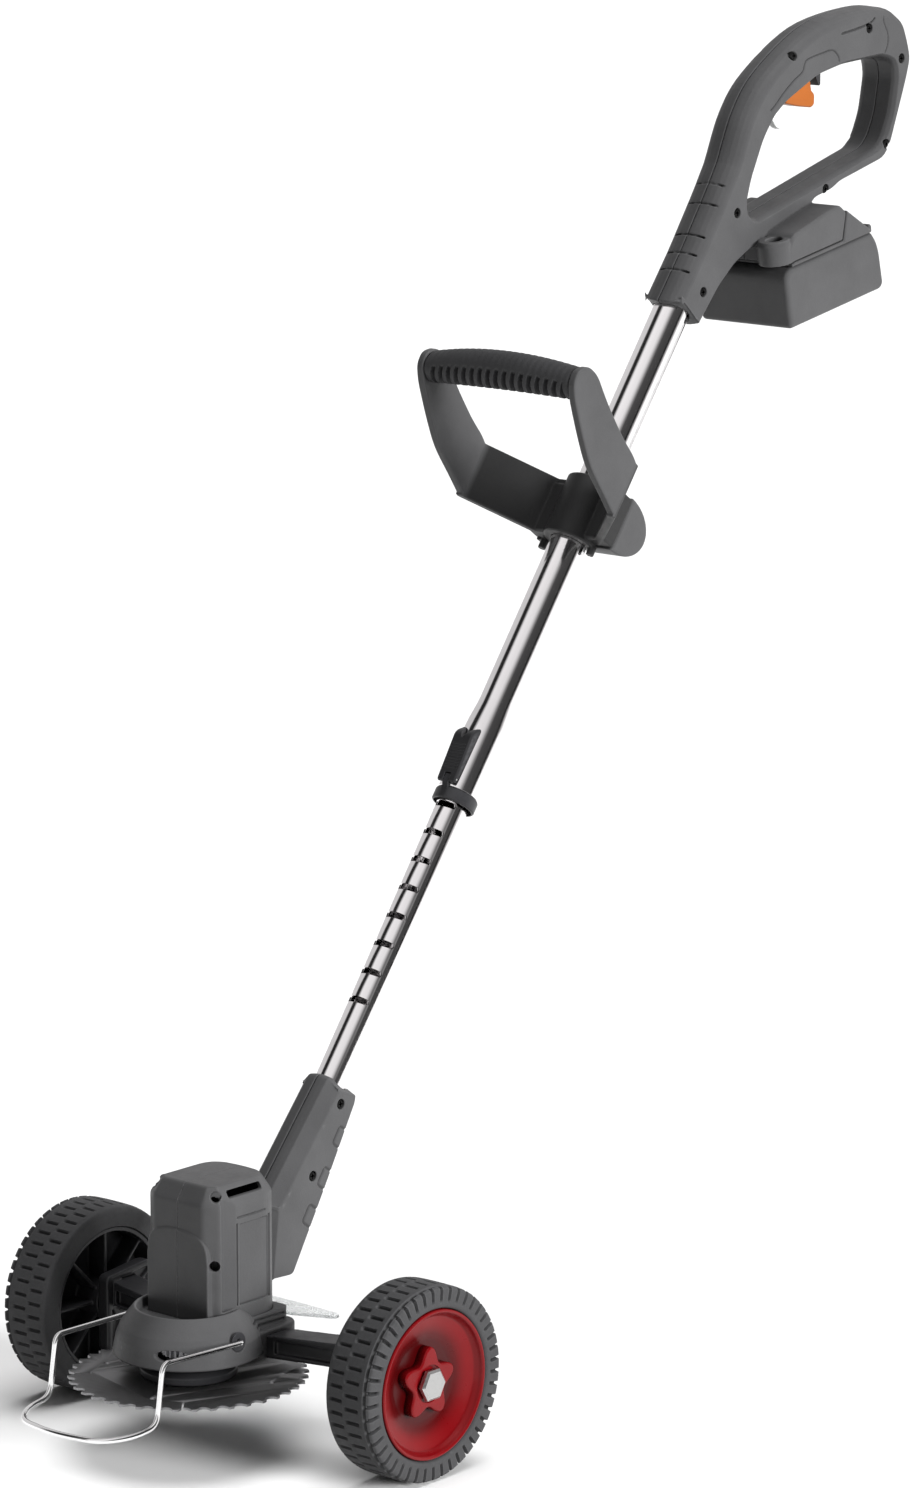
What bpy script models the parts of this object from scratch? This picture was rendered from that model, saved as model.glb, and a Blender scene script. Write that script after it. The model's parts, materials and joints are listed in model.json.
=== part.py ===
"""Battery lawn edger on two wheels: telescopic pole, rear handle, auxiliary handle and saw head.

All driving dimensions are in millimetres and are turned into metres when a mesh is made.
+Z is up, the blade faces -Y, the pole leans back towards +Y and the wheel axle lies along X.
While the pieces are made, the blade spindle stands at X = Y = 0 and the wheels touch Z = 0.
The last step moves everything so that the origin is the bottom centre of the whole tool.
"""

import bpy
import bmesh
import math
from mathutils import Matrix, Vector

MM = 0.001
GAP = 0.3
WALL = 2.6

# pole
POLE_LEAN = math.radians(53.64)
POLE_FOOT_Y = -23.1
UPPER_R = 12.5
UPPER_WALL = 1.2
SWAGE_R = 14.1
SWAGE_END = 474.0
COLLAR_LOW = 465.2
COLLAR_R = 14.7
SWAGE_TOP = 519.0
CONE_TOP = 541.0
UPPER_TOP = 900.0
LOWER_R = 10.75
LOWER_WALL = 1.2
LOWER_BOTTOM = 168.0
LOWER_TOP = 560.0
NOTCH_FIRST = 319.9
NOTCH_PITCH = 20.4
NOTCH_COUNT = 10
NOTCH_WIDTH = 3.6
LATCH_HALF = 7.8
LATCH_PIVOT = (478.5, 15.0)
FINGER_REACH = 25.7
TAB_HALF = 2.4

# saw head
BLADE_R = 76.2
BLADE_THICK = 1.6
BLADE_Z = 50.2
BLADE_TEETH = 40
TOOTH_DEPTH = 4.6
SPINDLE_R = 6.0
HUB_R = 31.0
MOTOR_Y = 22.0
MOTOR_R = 21.0
HOUSING_HALF = 31.0
PAD_HALF = 26.3
PAD_PROUD = 0.8
HOUSING_FRONT = -9.5
HOUSING_BACK = 58.5
HOUSING_TOP = 176.0
HOUSING_SHOULDER = 166.0
HOUSING_BOTTOM = 79.3
SHOULDER_IN = 7.0
SKIRT_BOTTOM = 60.5
SKIRT_R = 47.8
SHELF_HALF = 38.0
SHELF_BACK = 65.0

# wheels
WHEEL_R = 62.5
WHEEL_Y = 55.3
WHEEL_OUT = 158.5
TYRE_WIDTH = 37.2
AXLE_R = 5.0

# rear handle
LIMB_HALF = 16.0
LIMB_FLAT = 9.5
FOOT_HALF = 39.0
LIMB_START = 838.0
SOCKET_END = 906.0
PACK_TILT = math.radians(10.3)
PACK_Y = 555.0
PACK_Z = 659.0
PACK_LENGTH = 105.0
PACK_HEIGHT = 44.0

# auxiliary handle
AUX_HALF = 67.0
AUX_S = 684.0
AUX_SCREW_X = 24.5


# ---------------------------------------------------------------- placing

def on_pole(s, n, x=0.0):
    """Point at length s along the pole axis and n in front of it."""
    y = POLE_FOOT_Y + s * math.cos(POLE_LEAN) - n * math.sin(POLE_LEAN)
    z = s * math.sin(POLE_LEAN) + n * math.cos(POLE_LEAN)
    return Vector((x, y, z))


def pole_yz(s, n):
    p = on_pole(s, n)
    return (p.y, p.z)


def pack_yz(b, c):
    """Point at b along the battery and c above its bottom, in the YZ plane."""
    y = PACK_Y + b * math.cos(PACK_TILT) - c * math.sin(PACK_TILT)
    z = PACK_Z + b * math.sin(PACK_TILT) + c * math.cos(PACK_TILT)
    return (y, z)


def polar(radius, angle):
    return (radius * math.cos(angle), radius * math.sin(angle))


def area(points):
    total = 0.0
    for i, p in enumerate(points):
        q = points[(i + 1) % len(points)]
        total += p[0] * q[1] - q[0] * p[1]
    return total / 2.0


def inset(points, distance):
    """Mitred inset of an outline. distance is one number or one number per corner."""
    count = len(points)
    if not isinstance(distance, (list, tuple)):
        distance = [distance] * count
    sign = 1.0 if area(points) > 0 else -1.0
    result = []
    for i in range(count):
        p = Vector(points[i])
        before = (p - Vector(points[i - 1])).normalized()
        after = (Vector(points[(i + 1) % count]) - p).normalized()
        na = Vector((-before.y, before.x)) * sign
        nb = Vector((-after.y, after.x)) * sign
        mitre = (na + nb).normalized()
        scale = 1.0 / max(mitre.dot(na), 0.35)
        result.append(tuple(p + mitre * distance[i] * scale))
    return result


def smooth(points, steps, closed=False):
    """Catmull-Rom curve through a few corners, in two or three dimensions."""
    pts = [Vector(p) for p in points]
    count = len(pts)
    result = []
    spans = count if closed else count - 1
    for i in range(spans):
        p1 = pts[i]
        p2 = pts[(i + 1) % count]
        p0 = pts[i - 1] if closed or i > 0 else p1 * 2 - p2
        p3 = pts[(i + 2) % count] if closed or i + 2 < count else p2 * 2 - p1
        for k in range(steps):
            t = k / steps
            a = p1 * 2
            b = p2 - p0
            c = p0 * 2 - p1 * 5 + p2 * 4 - p3
            d = p1 * 3 - p0 - p2 * 3 + p3
            result.append(tuple((a + b * t + c * t * t + d * t * t * t) / 2))
    if not closed:
        result.append(tuple(pts[-1]))
    return result


def fillet(points, radius, steps=4):
    """Open path with its inner corners rounded."""
    pts = [Vector(p) for p in points]
    result = [pts[0]]
    for i in range(1, len(pts) - 1):
        into = (pts[i] - pts[i - 1]).normalized()
        out = (pts[i + 1] - pts[i]).normalized()
        reach = min(radius, (pts[i] - pts[i - 1]).length / 2, (pts[i + 1] - pts[i]).length / 2)
        start = pts[i] - into * reach
        end = pts[i] + out * reach
        for k in range(steps + 1):
            t = k / steps
            a = start.lerp(pts[i], t)
            b = pts[i].lerp(end, t)
            result.append(a.lerp(b, t))
    result.append(pts[-1])
    return result


# ---------------------------------------------------------------- making

def collection(name):
    made = bpy.data.collections.new(name)
    bpy.context.scene.collection.children.link(made)
    return made


def material(name, colour, roughness, metallic=0.0, alpha=1.0, transmission=0.0):
    made = bpy.data.materials.get(name)
    if made:
        return made
    made = bpy.data.materials.new(name)
    made.use_nodes = True
    shader = made.node_tree.nodes["Principled BSDF"]
    shader.inputs["Base Color"].default_value = (colour[0], colour[1], colour[2], 1.0)
    shader.inputs["Roughness"].default_value = roughness
    shader.inputs["Metallic"].default_value = metallic
    shader.inputs["Alpha"].default_value = alpha
    shader.inputs["Transmission Weight"].default_value = transmission
    return made


def new_object(name, mesh, paint=None):
    made = bpy.data.objects.new(name, mesh)
    if paint is None:
        CUTTERS.objects.link(made)
        made.hide_render = True
        made.display_type = "WIRE"
    else:
        PARTS.objects.link(made)
        made.data.materials.append(paint)
    return made


def close_mesh(bm, name, round_angle):
    bmesh.ops.remove_doubles(bm, verts=bm.verts, dist=0.000001)
    bmesh.ops.recalc_face_normals(bm, faces=bm.faces)
    mesh = bpy.data.meshes.new(name)
    bm.to_mesh(mesh)
    bm.free()
    if round_angle:
        mesh.shade_smooth()
        mesh.set_sharp_from_angle(angle=math.radians(round_angle))
    return mesh


def loft_into(bm, rings, closed=False):
    """Skin between outlines that have the same number of corners."""
    rows = [[bm.verts.new(Vector(p) * MM) for p in ring] for ring in rings]
    count = len(rows[0])
    spans = len(rows) if closed else len(rows) - 1
    for i in range(spans):
        a = rows[i]
        b = rows[(i + 1) % len(rows)]
        for k in range(count):
            m = (k + 1) % count
            bm.faces.new((a[k], a[m], b[m], b[k]))
    if not closed:
        bm.faces.new(list(reversed(rows[0])))
        bm.faces.new(rows[-1])


def loft(name, rings, paint=None, closed=False, round_angle=0):
    bm = bmesh.new()
    loft_into(bm, rings, closed)
    return new_object(name, close_mesh(bm, name, round_angle), paint)


def at_x(points, x):
    return [(x, p[0], p[1]) for p in points]


def at_z(points, z):
    return [(p[0], p[1], z) for p in points]


def slab_x(name, points, x0, x1, paint=None, bevel=0.0, both=False):
    """Outline in the YZ plane carried from x0 to x1, with a chamfer at x1 or at both ends."""
    rings = []
    step = math.copysign(bevel, x1 - x0)
    if bevel and both:
        rings.append(at_x(inset(points, bevel), x0))
        rings.append(at_x(points, x0 + step))
    else:
        rings.append(at_x(points, x0))
    if bevel:
        rings.append(at_x(points, x1 - step))
        rings.append(at_x(inset(points, bevel), x1))
    else:
        rings.append(at_x(points, x1))
    return loft(name, rings, paint)


def slab_z(name, points, z0, z1, paint=None, bevel=0.0):
    rings = [at_z(points, z0)]
    if bevel:
        rings.append(at_z(points, z1 - bevel))
        rings.append(at_z(inset(points, bevel), z1))
    else:
        rings.append(at_z(points, z1))
    return loft(name, rings, paint)


def frame_for(axis):
    axis = Vector(axis).normalized()
    helper = Vector((0, 0, 1)) if abs(axis.z) < 0.9 else Vector((0, 1, 0))
    side = axis.cross(helper).normalized()
    up = side.cross(axis).normalized()
    return axis, side, up


def turned_into(bm, profile, centre, axis, segments, hollow):
    """Turn (along, radius) pairs about an axis. A hollow profile is a closed loop."""
    axis, side, up = frame_for(axis)
    centre = Vector(centre)
    rings = []
    for along, radius in profile:
        ring = []
        for k in range(segments):
            angle = 2 * math.pi * k / segments
            c = math.cos(angle)
            s = math.sin(angle)
            ring.append(centre + axis * along + (side * c + up * s) * radius)
        rings.append(ring)
    loft_into(bm, rings, hollow)


def turned(name, profile, centre, axis, paint=None, segments=32, hollow=False, round_angle=40):
    bm = bmesh.new()
    turned_into(bm, profile, centre, axis, segments, hollow)
    return new_object(name, close_mesh(bm, name, round_angle), paint)


def cylinders(name, items, paint=None, segments=16):
    """Several separate straight cylinders: (start, end, radius) each."""
    bm = bmesh.new()
    for start, end, radius in items:
        start = Vector(start)
        end = Vector(end)
        length = (end - start).length
        turned_into(bm, [(0, radius), (length, radius)], start, end - start, segments, False)
    return new_object(name, close_mesh(bm, name, 40), paint)


def boxes(name, items, paint=None):
    """Several separate boxes: (lowest corner, highest corner) each."""
    bm = bmesh.new()
    for low, high in items:
        ring = [(low[0], low[1]), (high[0], low[1]), (high[0], high[1]), (low[0], high[1])]
        loft_into(bm, [at_z(ring, low[2]), at_z(ring, high[2])])
    return new_object(name, close_mesh(bm, name, 0), paint)


def pipe(name, path, radius, paint=None, segments=8):
    """Round bar bent along a path."""
    pts = [Vector(p) for p in path]
    bm = bmesh.new()
    tangent = (pts[1] - pts[0]).normalized()
    axis, side, up = frame_for(tangent)
    rings = []
    for i, p in enumerate(pts):
        if i == 0:
            direction = pts[1] - p
        elif i == len(pts) - 1:
            direction = p - pts[i - 1]
        else:
            direction = (pts[i + 1] - p).normalized() + (p - pts[i - 1]).normalized()
        turn = tangent.rotation_difference(direction.normalized())
        side = turn @ side
        up = turn @ up
        tangent = direction.normalized()
        ring = []
        for k in range(segments):
            angle = 2 * math.pi * k / segments
            ring.append(p + side * radius * math.cos(angle) + up * radius * math.sin(angle))
        rings.append(ring)
    loft_into(bm, rings)
    return new_object(name, close_mesh(bm, name, 60), paint)


def boolean(target, tool, operation):
    modifier = target.modifiers.new(operation.lower(), "BOOLEAN")
    modifier.operation = operation
    modifier.solver = "EXACT"
    modifier.object = tool


def cut(target, tool):
    boolean(target, tool, "DIFFERENCE")


def add(target, tool):
    boolean(target, tool, "UNION")


def settle(target):
    """Replace an object's mesh by its evaluated shape and drop the modifiers."""
    bpy.context.view_layer.update()
    shape = target.evaluated_get(bpy.context.evaluated_depsgraph_get())
    mesh = bpy.data.meshes.new_from_object(shape)
    target.modifiers.clear()
    target.data = mesh
    return target


def mirrored(source, name, paint):
    """Other-hand copy of a piece about X = 0."""
    bpy.context.view_layer.update()
    shape = source.evaluated_get(bpy.context.evaluated_depsgraph_get())
    mesh = bpy.data.meshes.new_from_object(shape)
    mesh.transform(Matrix.Scale(-1, 4, (1, 0, 0)) @ source.matrix_world)
    mesh.flip_normals()
    mesh.name = name
    mesh.materials.clear()
    return new_object(name, mesh, paint)


def pivot(target, point):
    """Put an object's origin on its joint axis without moving its shape."""
    point = Vector(point) * MM
    target.data.transform(Matrix.Translation(-point))
    target.location = point


def arc(centre, radius, start, end, steps):
    result = []
    for k in range(steps + 1):
        angle = math.radians(start + (end - start) * k / steps)
        x, y = polar(radius, angle)
        result.append((centre[0] + x, centre[1] + y))
    return result


# ---------------------------------------------------------------- materials

def charcoal():
    return material("charcoal_plastic", (0.050, 0.050, 0.052), 0.55)


def black_plastic():
    return material("black_plastic", (0.018, 0.018, 0.019), 0.5)


def grip_rubber():
    return material("grip_rubber", (0.040, 0.040, 0.042), 0.75)


def tread_rubber():
    return material("tyre_rubber", (0.045, 0.045, 0.047), 0.8)


def bright_steel():
    return material("bright_steel", (0.80, 0.79, 0.78), 0.12, 1.0)


def blade_steel():
    return material("blade_steel", (0.20, 0.20, 0.21), 0.35, 1.0)


def zinc_steel():
    return material("zinc_steel", (0.62, 0.62, 0.60), 0.35, 1.0)


def dark_steel():
    return material("dark_steel", (0.05, 0.05, 0.055), 0.4, 0.9)


def red_plastic():
    return material("red_plastic", (0.42, 0.008, 0.012), 0.35)


def orange_plastic():
    return material("orange_plastic", (0.90, 0.20, 0.01), 0.4)


def frosted_plastic():
    return material("frosted_plastic", (0.86, 0.88, 0.88), 0.3, 0.0, 0.6, 0.4)


def motor_steel():
    return material("motor_steel", (0.45, 0.45, 0.46), 0.4, 0.9)


def bearing_steel():
    return material("bearing_steel", (0.66, 0.66, 0.67), 0.25, 1.0)


def gear_steel():
    return material("gear_steel", (0.30, 0.30, 0.31), 0.4, 0.9)


def cell_wrap():
    return material("cell_wrap", (0.05, 0.22, 0.35), 0.45)


def pale_nylon():
    return material("pale_nylon", (0.70, 0.70, 0.66), 0.5)


# ---------------------------------------------------------------- rear handle

SCREW_TURN = 8
SCREW_SINK = 3.2


def limb_outline():
    front = [pole_yz(LIMB_START, 17.0), pole_yz(880, 16.2), pole_yz(925, 17.6)]
    top = smooth([(521.5, 772), (538, 806), (562, 831), (611, 857.6), (666, 866.8), (697, 864.5)], 2)
    rear = [(709, 856), (714.5, 841), (717.6, 829), (712, 814), (694.5, 771), (687, 761.5)]
    bar = [(637, 749), pack_yz(88, 71.0), pack_yz(66.4, 70.0), pack_yz(58, 58), pack_yz(10, 52)]
    heel = [pole_yz(909, -32), pole_yz(891, -23), pole_yz(870, -17.5), pole_yz(LIMB_START, -14.5)]
    return front + top + rear + bar + heel


def limb_chamfers():
    outline = limb_outline()
    depths = []
    for i in range(len(outline)):
        if i < 14:
            depths.append(7.5)
        elif i < 17:
            depths.append(4.0)
        else:
            depths.append(2.0)
    return depths


def grip_opening():
    front = [(536.5, 744), (541, 759), (554, 785), (565, 799), (578, 808), (613.5, 824)]
    top = [(641, 829.5), (684, 832.5), (697, 828), (699.5, 818)]
    rear = [(694.7, 793), (687, 777), (679, 769.5)]
    return front + top + rear + [(666, 766), (579, 741.5), (546, 732), (538.5, 736)]


def handle_screw_points():
    low = [pole_yz(858.5, -4.0), pole_yz(919.6, -3.3)]
    return low + [(584.5, 839.5), (667.5, 852.5), (704.3, 829.5), (688.7, 771.8), (620.8, 746.6)]


def limb_cavity(name):
    outline = limb_outline()
    wall = [WALL] * len(outline)
    deep = [WALL + 0.75 * d for d in limb_chamfers()]
    rings = [
        at_x(inset(outline, wall), -1.0),
        at_x(inset(outline, wall), LIMB_FLAT - 1.5),
        at_x(inset(outline, deep), LIMB_HALF - WALL),
    ]
    cavity = loft(name, rings)
    around = inset(grip_opening(), -WALL)
    cut(cavity, slab_x(name + "_ring", around, -3.0, LIMB_HALF + 3.0))
    plug = [pole_yz(800, 60), pole_yz(SOCKET_END, 60), pole_yz(SOCKET_END, -24.0), pole_yz(800, -24.0)]
    cut(cavity, slab_x(name + "_socket", plug, -3.0, LIMB_HALF + 3.0))
    columns = [((-4, y, z), (LIMB_HALF + 4, y, z), 4.2) for y, z in handle_screw_points()[1:]]
    cut(cavity, cylinders(name + "_columns", columns, segments=8))
    return cavity


def screw_holes(name, points, face):
    bm = bmesh.new()
    for y, z in points:
        floor = face - SCREW_SINK
        profile = [(-2.0, 1.8), (floor, 1.8), (floor, 3.4), (face + 4.0, 3.4)]
        turned_into(bm, profile, (0, y, z), (1, 0, 0), SCREW_TURN, False)
    return new_object(name, close_mesh(bm, name, 0))


def side_screw(name, y, z, face, reach):
    """Pan-head screw driven from +X, its head sunk below the shell face."""
    head = face - SCREW_SINK + GAP
    profile = [(-reach, 1.5), (head, 1.5), (head, 3.0), (head + 1.6, 3.0), (head + 2.4, 2.2)]
    return turned(name, profile, (0, y, z), (1, 0, 0), zinc_steel(), SCREW_TURN)


def foot_outline():
    low = [pack_yz(5, PACK_HEIGHT + GAP), pack_yz(7, 56), pack_yz(13.4, 62.6)]
    top = [pack_yz(53, 68.6), pack_yz(65.6, 69.2), pack_yz(72.0, 62.6)]
    return low + top + [pack_yz(65.0, PACK_HEIGHT + GAP)]


def boss_point(c):
    y, z = pack_yz(6.0, c)
    return Vector((27.0, y, z))


def rail_cutter(name):
    """T-shaped channel under the foot that the battery rails slide in."""
    bm = bmesh.new()
    c0 = PACK_HEIGHT - 3.0
    c1 = PACK_HEIGHT + 3.0
    c2 = PACK_HEIGHT + 10.0
    stem = [pack_yz(10, c0), pack_yz(10, c1 + 1.0), pack_yz(80, c1 + 1.0), pack_yz(80, c0)]
    head = [pack_yz(10, c1), pack_yz(10, c2), pack_yz(80, c2), pack_yz(80, c1)]
    loft_into(bm, [at_x(stem, -1.0), at_x(stem, 24.0)])
    made = new_object(name, close_mesh(bm, name, 0))
    add(made, slab_x(name + "_head", head, -2.0, 30.0))
    return made


def handle_shell():
    outline = limb_outline()
    rings = [
        at_x(outline, GAP / 2),
        at_x(outline, LIMB_FLAT),
        at_x(inset(outline, limb_chamfers()), LIMB_HALF),
    ]
    shell = loft("handle_shell_right", rings, charcoal())
    foot = slab_x("foot_block", foot_outline(), GAP / 2, FOOT_HALF, bevel=2.0)
    add(shell, foot)
    add(shell, cylinders("foot_boss", [(boss_point(PACK_HEIGHT + GAP), boss_point(60.5), 12.0)], segments=20))
    opening = grip_opening()
    rings = [
        at_x(opening, -1.0),
        at_x(opening, LIMB_HALF - 2.5),
        at_x(inset(opening, -2.5), LIMB_HALF + 0.01),
        at_x(inset(opening, -2.5), LIMB_HALF + 2.0),
    ]
    cut(shell, loft("grip_opening", rings))
    cut(shell, limb_cavity("limb_cavity"))
    inner = [pack_yz(20, 53.5), pack_yz(20, 60.5), pack_yz(51, 65.6)]
    inner += [pack_yz(63.5, 66.0), pack_yz(67.5, 62.0), pack_yz(64.0, 53.5)]
    cut(shell, slab_x("foot_cavity", inner, -1.0, FOOT_HALF - WALL))
    cut(shell, rail_cutter("rail_channel"))
    bore = [(on_pole(820, 0), on_pole(UPPER_TOP + 1, 0), UPPER_R + GAP)]
    cut(shell, cylinders("handle_bore", bore, segments=24))
    slot = [(582, 802), (582, 829), (600, 837), (637, 840), (637, 815), (612, 806)]
    cut(shell, slab_x("trigger_slot", slot, -1.0, 8.6))
    tab_slot = [(566, 790), (563, 808), (573, 817), (584, 812), (584, 795)]
    cut(shell, slab_x("tab_slot", tab_slot, -1.0, 3.4))
    cut(shell, screw_holes("handle_screw_holes", handle_screw_points(), LIMB_HALF))
    cut(shell, cylinders("boss_hole", [(boss_point(56.0), boss_point(70.0), 5.8)], segments=14))
    settle(shell)
    mirrored(shell, "handle_shell_left", charcoal())
    for i, (y, z) in enumerate(handle_screw_points()):
        side_screw("handle_screw_%d" % (i + 1), y, z, LIMB_HALF, 9.0)


def switch_group():
    outline = [(588, 806.5), (603.5, 803.2), (617.5, 801.6), (620.3, 803.6), (620.5, 810.6), (617.0, 813.4)]
    outline += [(613.5, 829), (596, 829), (587, 822)]
    trigger = slab_x("trigger", outline, -6.0, 6.0, orange_plastic(), 1.2, True)
    pivot(trigger, (0, 592, 823))
    body = [(598, 833), (618, 834), (620.3, 821.5), (624.3, 815.2), (626.4, 816.2), (626.6, 833.5)]
    body += [(654, 836), (654, 853), (626, 850), (600, 839.5)]
    slab_x("switch_body", body, -6.0, 6.0, black_plastic(), 1.0, True)
    tab = [(569, 807), (574, 811), (581, 804.5), (591.5, 793), (589, 788.5), (583, 790), (574.5, 800)]
    lever = slab_x("lock_off_tab", tab, -3.0, 3.0, pale_nylon(), 0.8, True)
    pivot(lever, (0, 572, 807.5))


def battery():
    case = [pack_yz(0.0, 2.0), pack_yz(1.6, 0.0), pack_yz(101.5, 0.0), pack_yz(104.8, 3.2)]
    case += [pack_yz(103.8, 26.0), pack_yz(102.0, 33.6), pack_yz(97.4, 41.0)]
    case += [pack_yz(7.8, 41.0), pack_yz(3.4, 39.4), pack_yz(0.6, 35.6), pack_yz(0.0, 31.0)]
    tray = slab_x("battery_case", case, -FOOT_HALF, FOOT_HALF, charcoal(), 2.0, True)
    hollow = [pack_yz(3.0, 2.4), pack_yz(101.6, 2.4), pack_yz(100.8, 26.0), pack_yz(99.0, 33.0)]
    hollow += [pack_yz(94.0, 40.0), pack_yz(94.0, 50.0), pack_yz(11.0, 50.0), pack_yz(11.0, 40.0)]
    hollow += [pack_yz(5.8, 38.0), pack_yz(3.2, 34.0)]
    cut(tray, slab_x("pack_hollow", hollow, -FOOT_HALF + 3.2, FOOT_HALF - 3.2))
    settle(tray)
    lid = [pack_yz(8.4, 41.0 + GAP), pack_yz(97.0, 41.0 + GAP), pack_yz(97.4, 45.6), pack_yz(96.4, 47.2)]
    lid += [pack_yz(95.0, 46.8), pack_yz(93.9, 45.6), pack_yz(72.6, 63.4), pack_yz(65.7, PACK_HEIGHT)]
    lid += [pack_yz(12.0, PACK_HEIGHT), pack_yz(8.8, 43.2)]
    cover = slab_x("battery_lid", lid, -FOOT_HALF, FOOT_HALF, charcoal(), 0.8, True)
    stem = [pack_yz(10.6, 42), pack_yz(10.6, 48.5), pack_yz(63, 48.5), pack_yz(63, 42)]
    head = [pack_yz(10.6, 47.4), pack_yz(10.6, 53.6), pack_yz(63.5, 53.6), pack_yz(63.5, 47.4)]
    add(cover, slab_x("rail_stem", stem, -23.6, 23.6))
    add(cover, slab_x("rail_head", head, -29.6, 29.6))
    well = [pack_yz(68.6, 44.6), pack_yz(76.8, 65.0), pack_yz(90.9, 65.0), pack_yz(90.9, 44.6)]
    cut(cover, slab_x("button_well", well, -16.0, 16.0))
    for side in (-1, 1):
        groove = [pack_yz(8, 49), pack_yz(8, 58), pack_yz(42, 58), pack_yz(42, 49)]
        cut(cover, slab_x("contact_groove_%d" % side, groove, side * 8 - 1.6, side * 8 + 1.6))
    settle(cover)
    key = [pack_yz(70.4, 48.0), pack_yz(75.2, 60.2), pack_yz(76.4, 61.0), pack_yz(78.0, 60.4)]
    key += [pack_yz(90.4, 50.0), pack_yz(90.4, 48.0)]
    slab_x("battery_button", key, -15.7, 15.7, black_plastic(), 0.8, True)
    cells()
    plate = [pack_yz(21, 55), pack_yz(21, 58.5), pack_yz(41, 58.5), pack_yz(41, 55)]
    block = slab_x("terminal_block", plate, -FOOT_HALF + WALL + GAP, FOOT_HALF - WALL - GAP, black_plastic())
    for side in (-1, 1):
        prong = [pack_yz(23, 50), pack_yz(23, 57), pack_yz(39, 57), pack_yz(39, 50)]
        add(block, slab_x("prong_%d" % side, prong, side * 8 - 0.6, side * 8 + 0.6))
    settle(block)


def cells():
    """Five cells standing side by side across the tray, joined by their holder plate."""
    radius = 9.0
    pitch = 18.9
    plate = [pack_yz(6, 11), pack_yz(6, 15), pack_yz(99, 15), pack_yz(99, 11)]
    pack = slab_x("cell_pack", plate, -32.0, 32.0, cell_wrap())
    items = []
    for i in range(5):
        y, z = pack_yz(14.7 + i * pitch, 13.0)
        items.append(((-34.0, y, z), (34.0, y, z), radius))
    add(pack, cylinders("cell_bars", items, segments=16))
    settle(pack)


# ---------------------------------------------------------------- pole

def pole():
    inner = UPPER_R - UPPER_WALL
    wide = SWAGE_R - UPPER_WALL
    profile = [(SWAGE_END, SWAGE_R), (SWAGE_TOP, SWAGE_R), (CONE_TOP, UPPER_R), (UPPER_TOP, UPPER_R)]
    profile += [(UPPER_TOP, inner), (CONE_TOP, inner), (SWAGE_TOP, wide), (SWAGE_END, wide)]
    axis = on_pole(1, 0) - on_pole(0, 0)
    upper = turned("upper_tube", profile, on_pole(0, 0), axis, bright_steel(), 24, True)
    hole = on_pole(858.5, -4.0)
    cut(upper, cylinders("upper_cross_hole", [(hole - Vector((30, 0, 0)), hole + Vector((30, 0, 0)), 2.0)]))
    window = [pole_yz(s, n) for s, n in ((502.3, 8), (502.3, 20), (505.9, 20), (505.9, 8))]
    cut(upper, slab_x("latch_window", window, -4.6, 4.6))
    slot = [pole_yz(s, n) for s, n in ((460, 8), (460, 20), (482, 20), (482, 8))]
    cut(upper, slab_x("tab_window", slot, -TAB_HALF - GAP, TAB_HALF + GAP))
    settle(upper)
    inner = LOWER_R - LOWER_WALL
    profile = [(LOWER_BOTTOM, LOWER_R), (LOWER_TOP, LOWER_R), (LOWER_TOP, inner), (LOWER_BOTTOM, inner)]
    lower = turned("lower_tube", profile, on_pole(0, 0), axis, bright_steel(), 24, True)
    bm = bmesh.new()
    for i in range(NOTCH_COUNT):
        s = NOTCH_FIRST + i * NOTCH_PITCH
        corners = ((s - NOTCH_WIDTH / 2, 6.2), (s - NOTCH_WIDTH / 2, 20))
        corners += ((s + NOTCH_WIDTH / 2, 20), (s + NOTCH_WIDTH / 2, 6.2))
        ring = [pole_yz(a, b) for a, b in corners]
        loft_into(bm, [at_x(ring, -20), at_x(ring, 20)])
    cut(lower, new_object("notches", close_mesh(bm, "notches", 0)))
    items = []
    for s, n in ((252.4, -0.6), (202.7, -3.9)):
        hole = on_pole(s, n)
        items.append((hole - Vector((30, 0, 0)), hole + Vector((30, 0, 0)), 2.0))
    cut(lower, cylinders("lower_cross_holes", items))
    settle(lower)
    inside = LOWER_R + GAP
    outside = wide - GAP
    profile = [(COLLAR_LOW, 13.3), (COLLAR_LOW, COLLAR_R - 0.5), (COLLAR_LOW + 0.6, COLLAR_R)]
    profile += [(SWAGE_END - 1.0, COLLAR_R), (SWAGE_END - GAP, COLLAR_R - 0.4), (SWAGE_END - GAP, outside)]
    profile += [(516, outside), (516, inside), (COLLAR_LOW + 4.0, inside), (COLLAR_LOW + 4.0, 13.3)]
    bush = turned("guide_bush", profile, on_pole(0, 0), axis, black_plastic(), 24, True)
    cut(bush, slab_x("bush_window", window, -4.6, 4.6))
    tab = [(470.5, 12.0), (470.5, 14.4), (473.5, 15.4), (475.2, 16.5), (481.5, 16.5), (481.5, 12.0)]
    add(bush, slab_x("bush_tab", [pole_yz(s, n) for s, n in tab], -TAB_HALF, TAB_HALF))
    cut(bush, pin_bore("bush_pin_hole", 1.0))
    settle(bush)


def pin_bore(name, radius):
    centre = on_pole(LATCH_PIVOT[0], LATCH_PIVOT[1])
    reach = Vector((30, 0, 0))
    return cylinders(name, [(centre - reach, centre + reach, radius)], segments=12)


def finger_outline():
    """Curved about the lever's pivot so that it lifts straight out through its window."""
    near = []
    far = []
    for n in (LOWER_R + GAP, 13.0, 16.2):
        drop = LATCH_PIVOT[1] - n
        for side, row in ((-1.1, near), (1.1, far)):
            reach = FINGER_REACH + side
            row.append(pole_yz(LATCH_PIVOT[0] + math.sqrt(reach * reach - drop * drop), n))
    return near + list(reversed(far))


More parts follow.
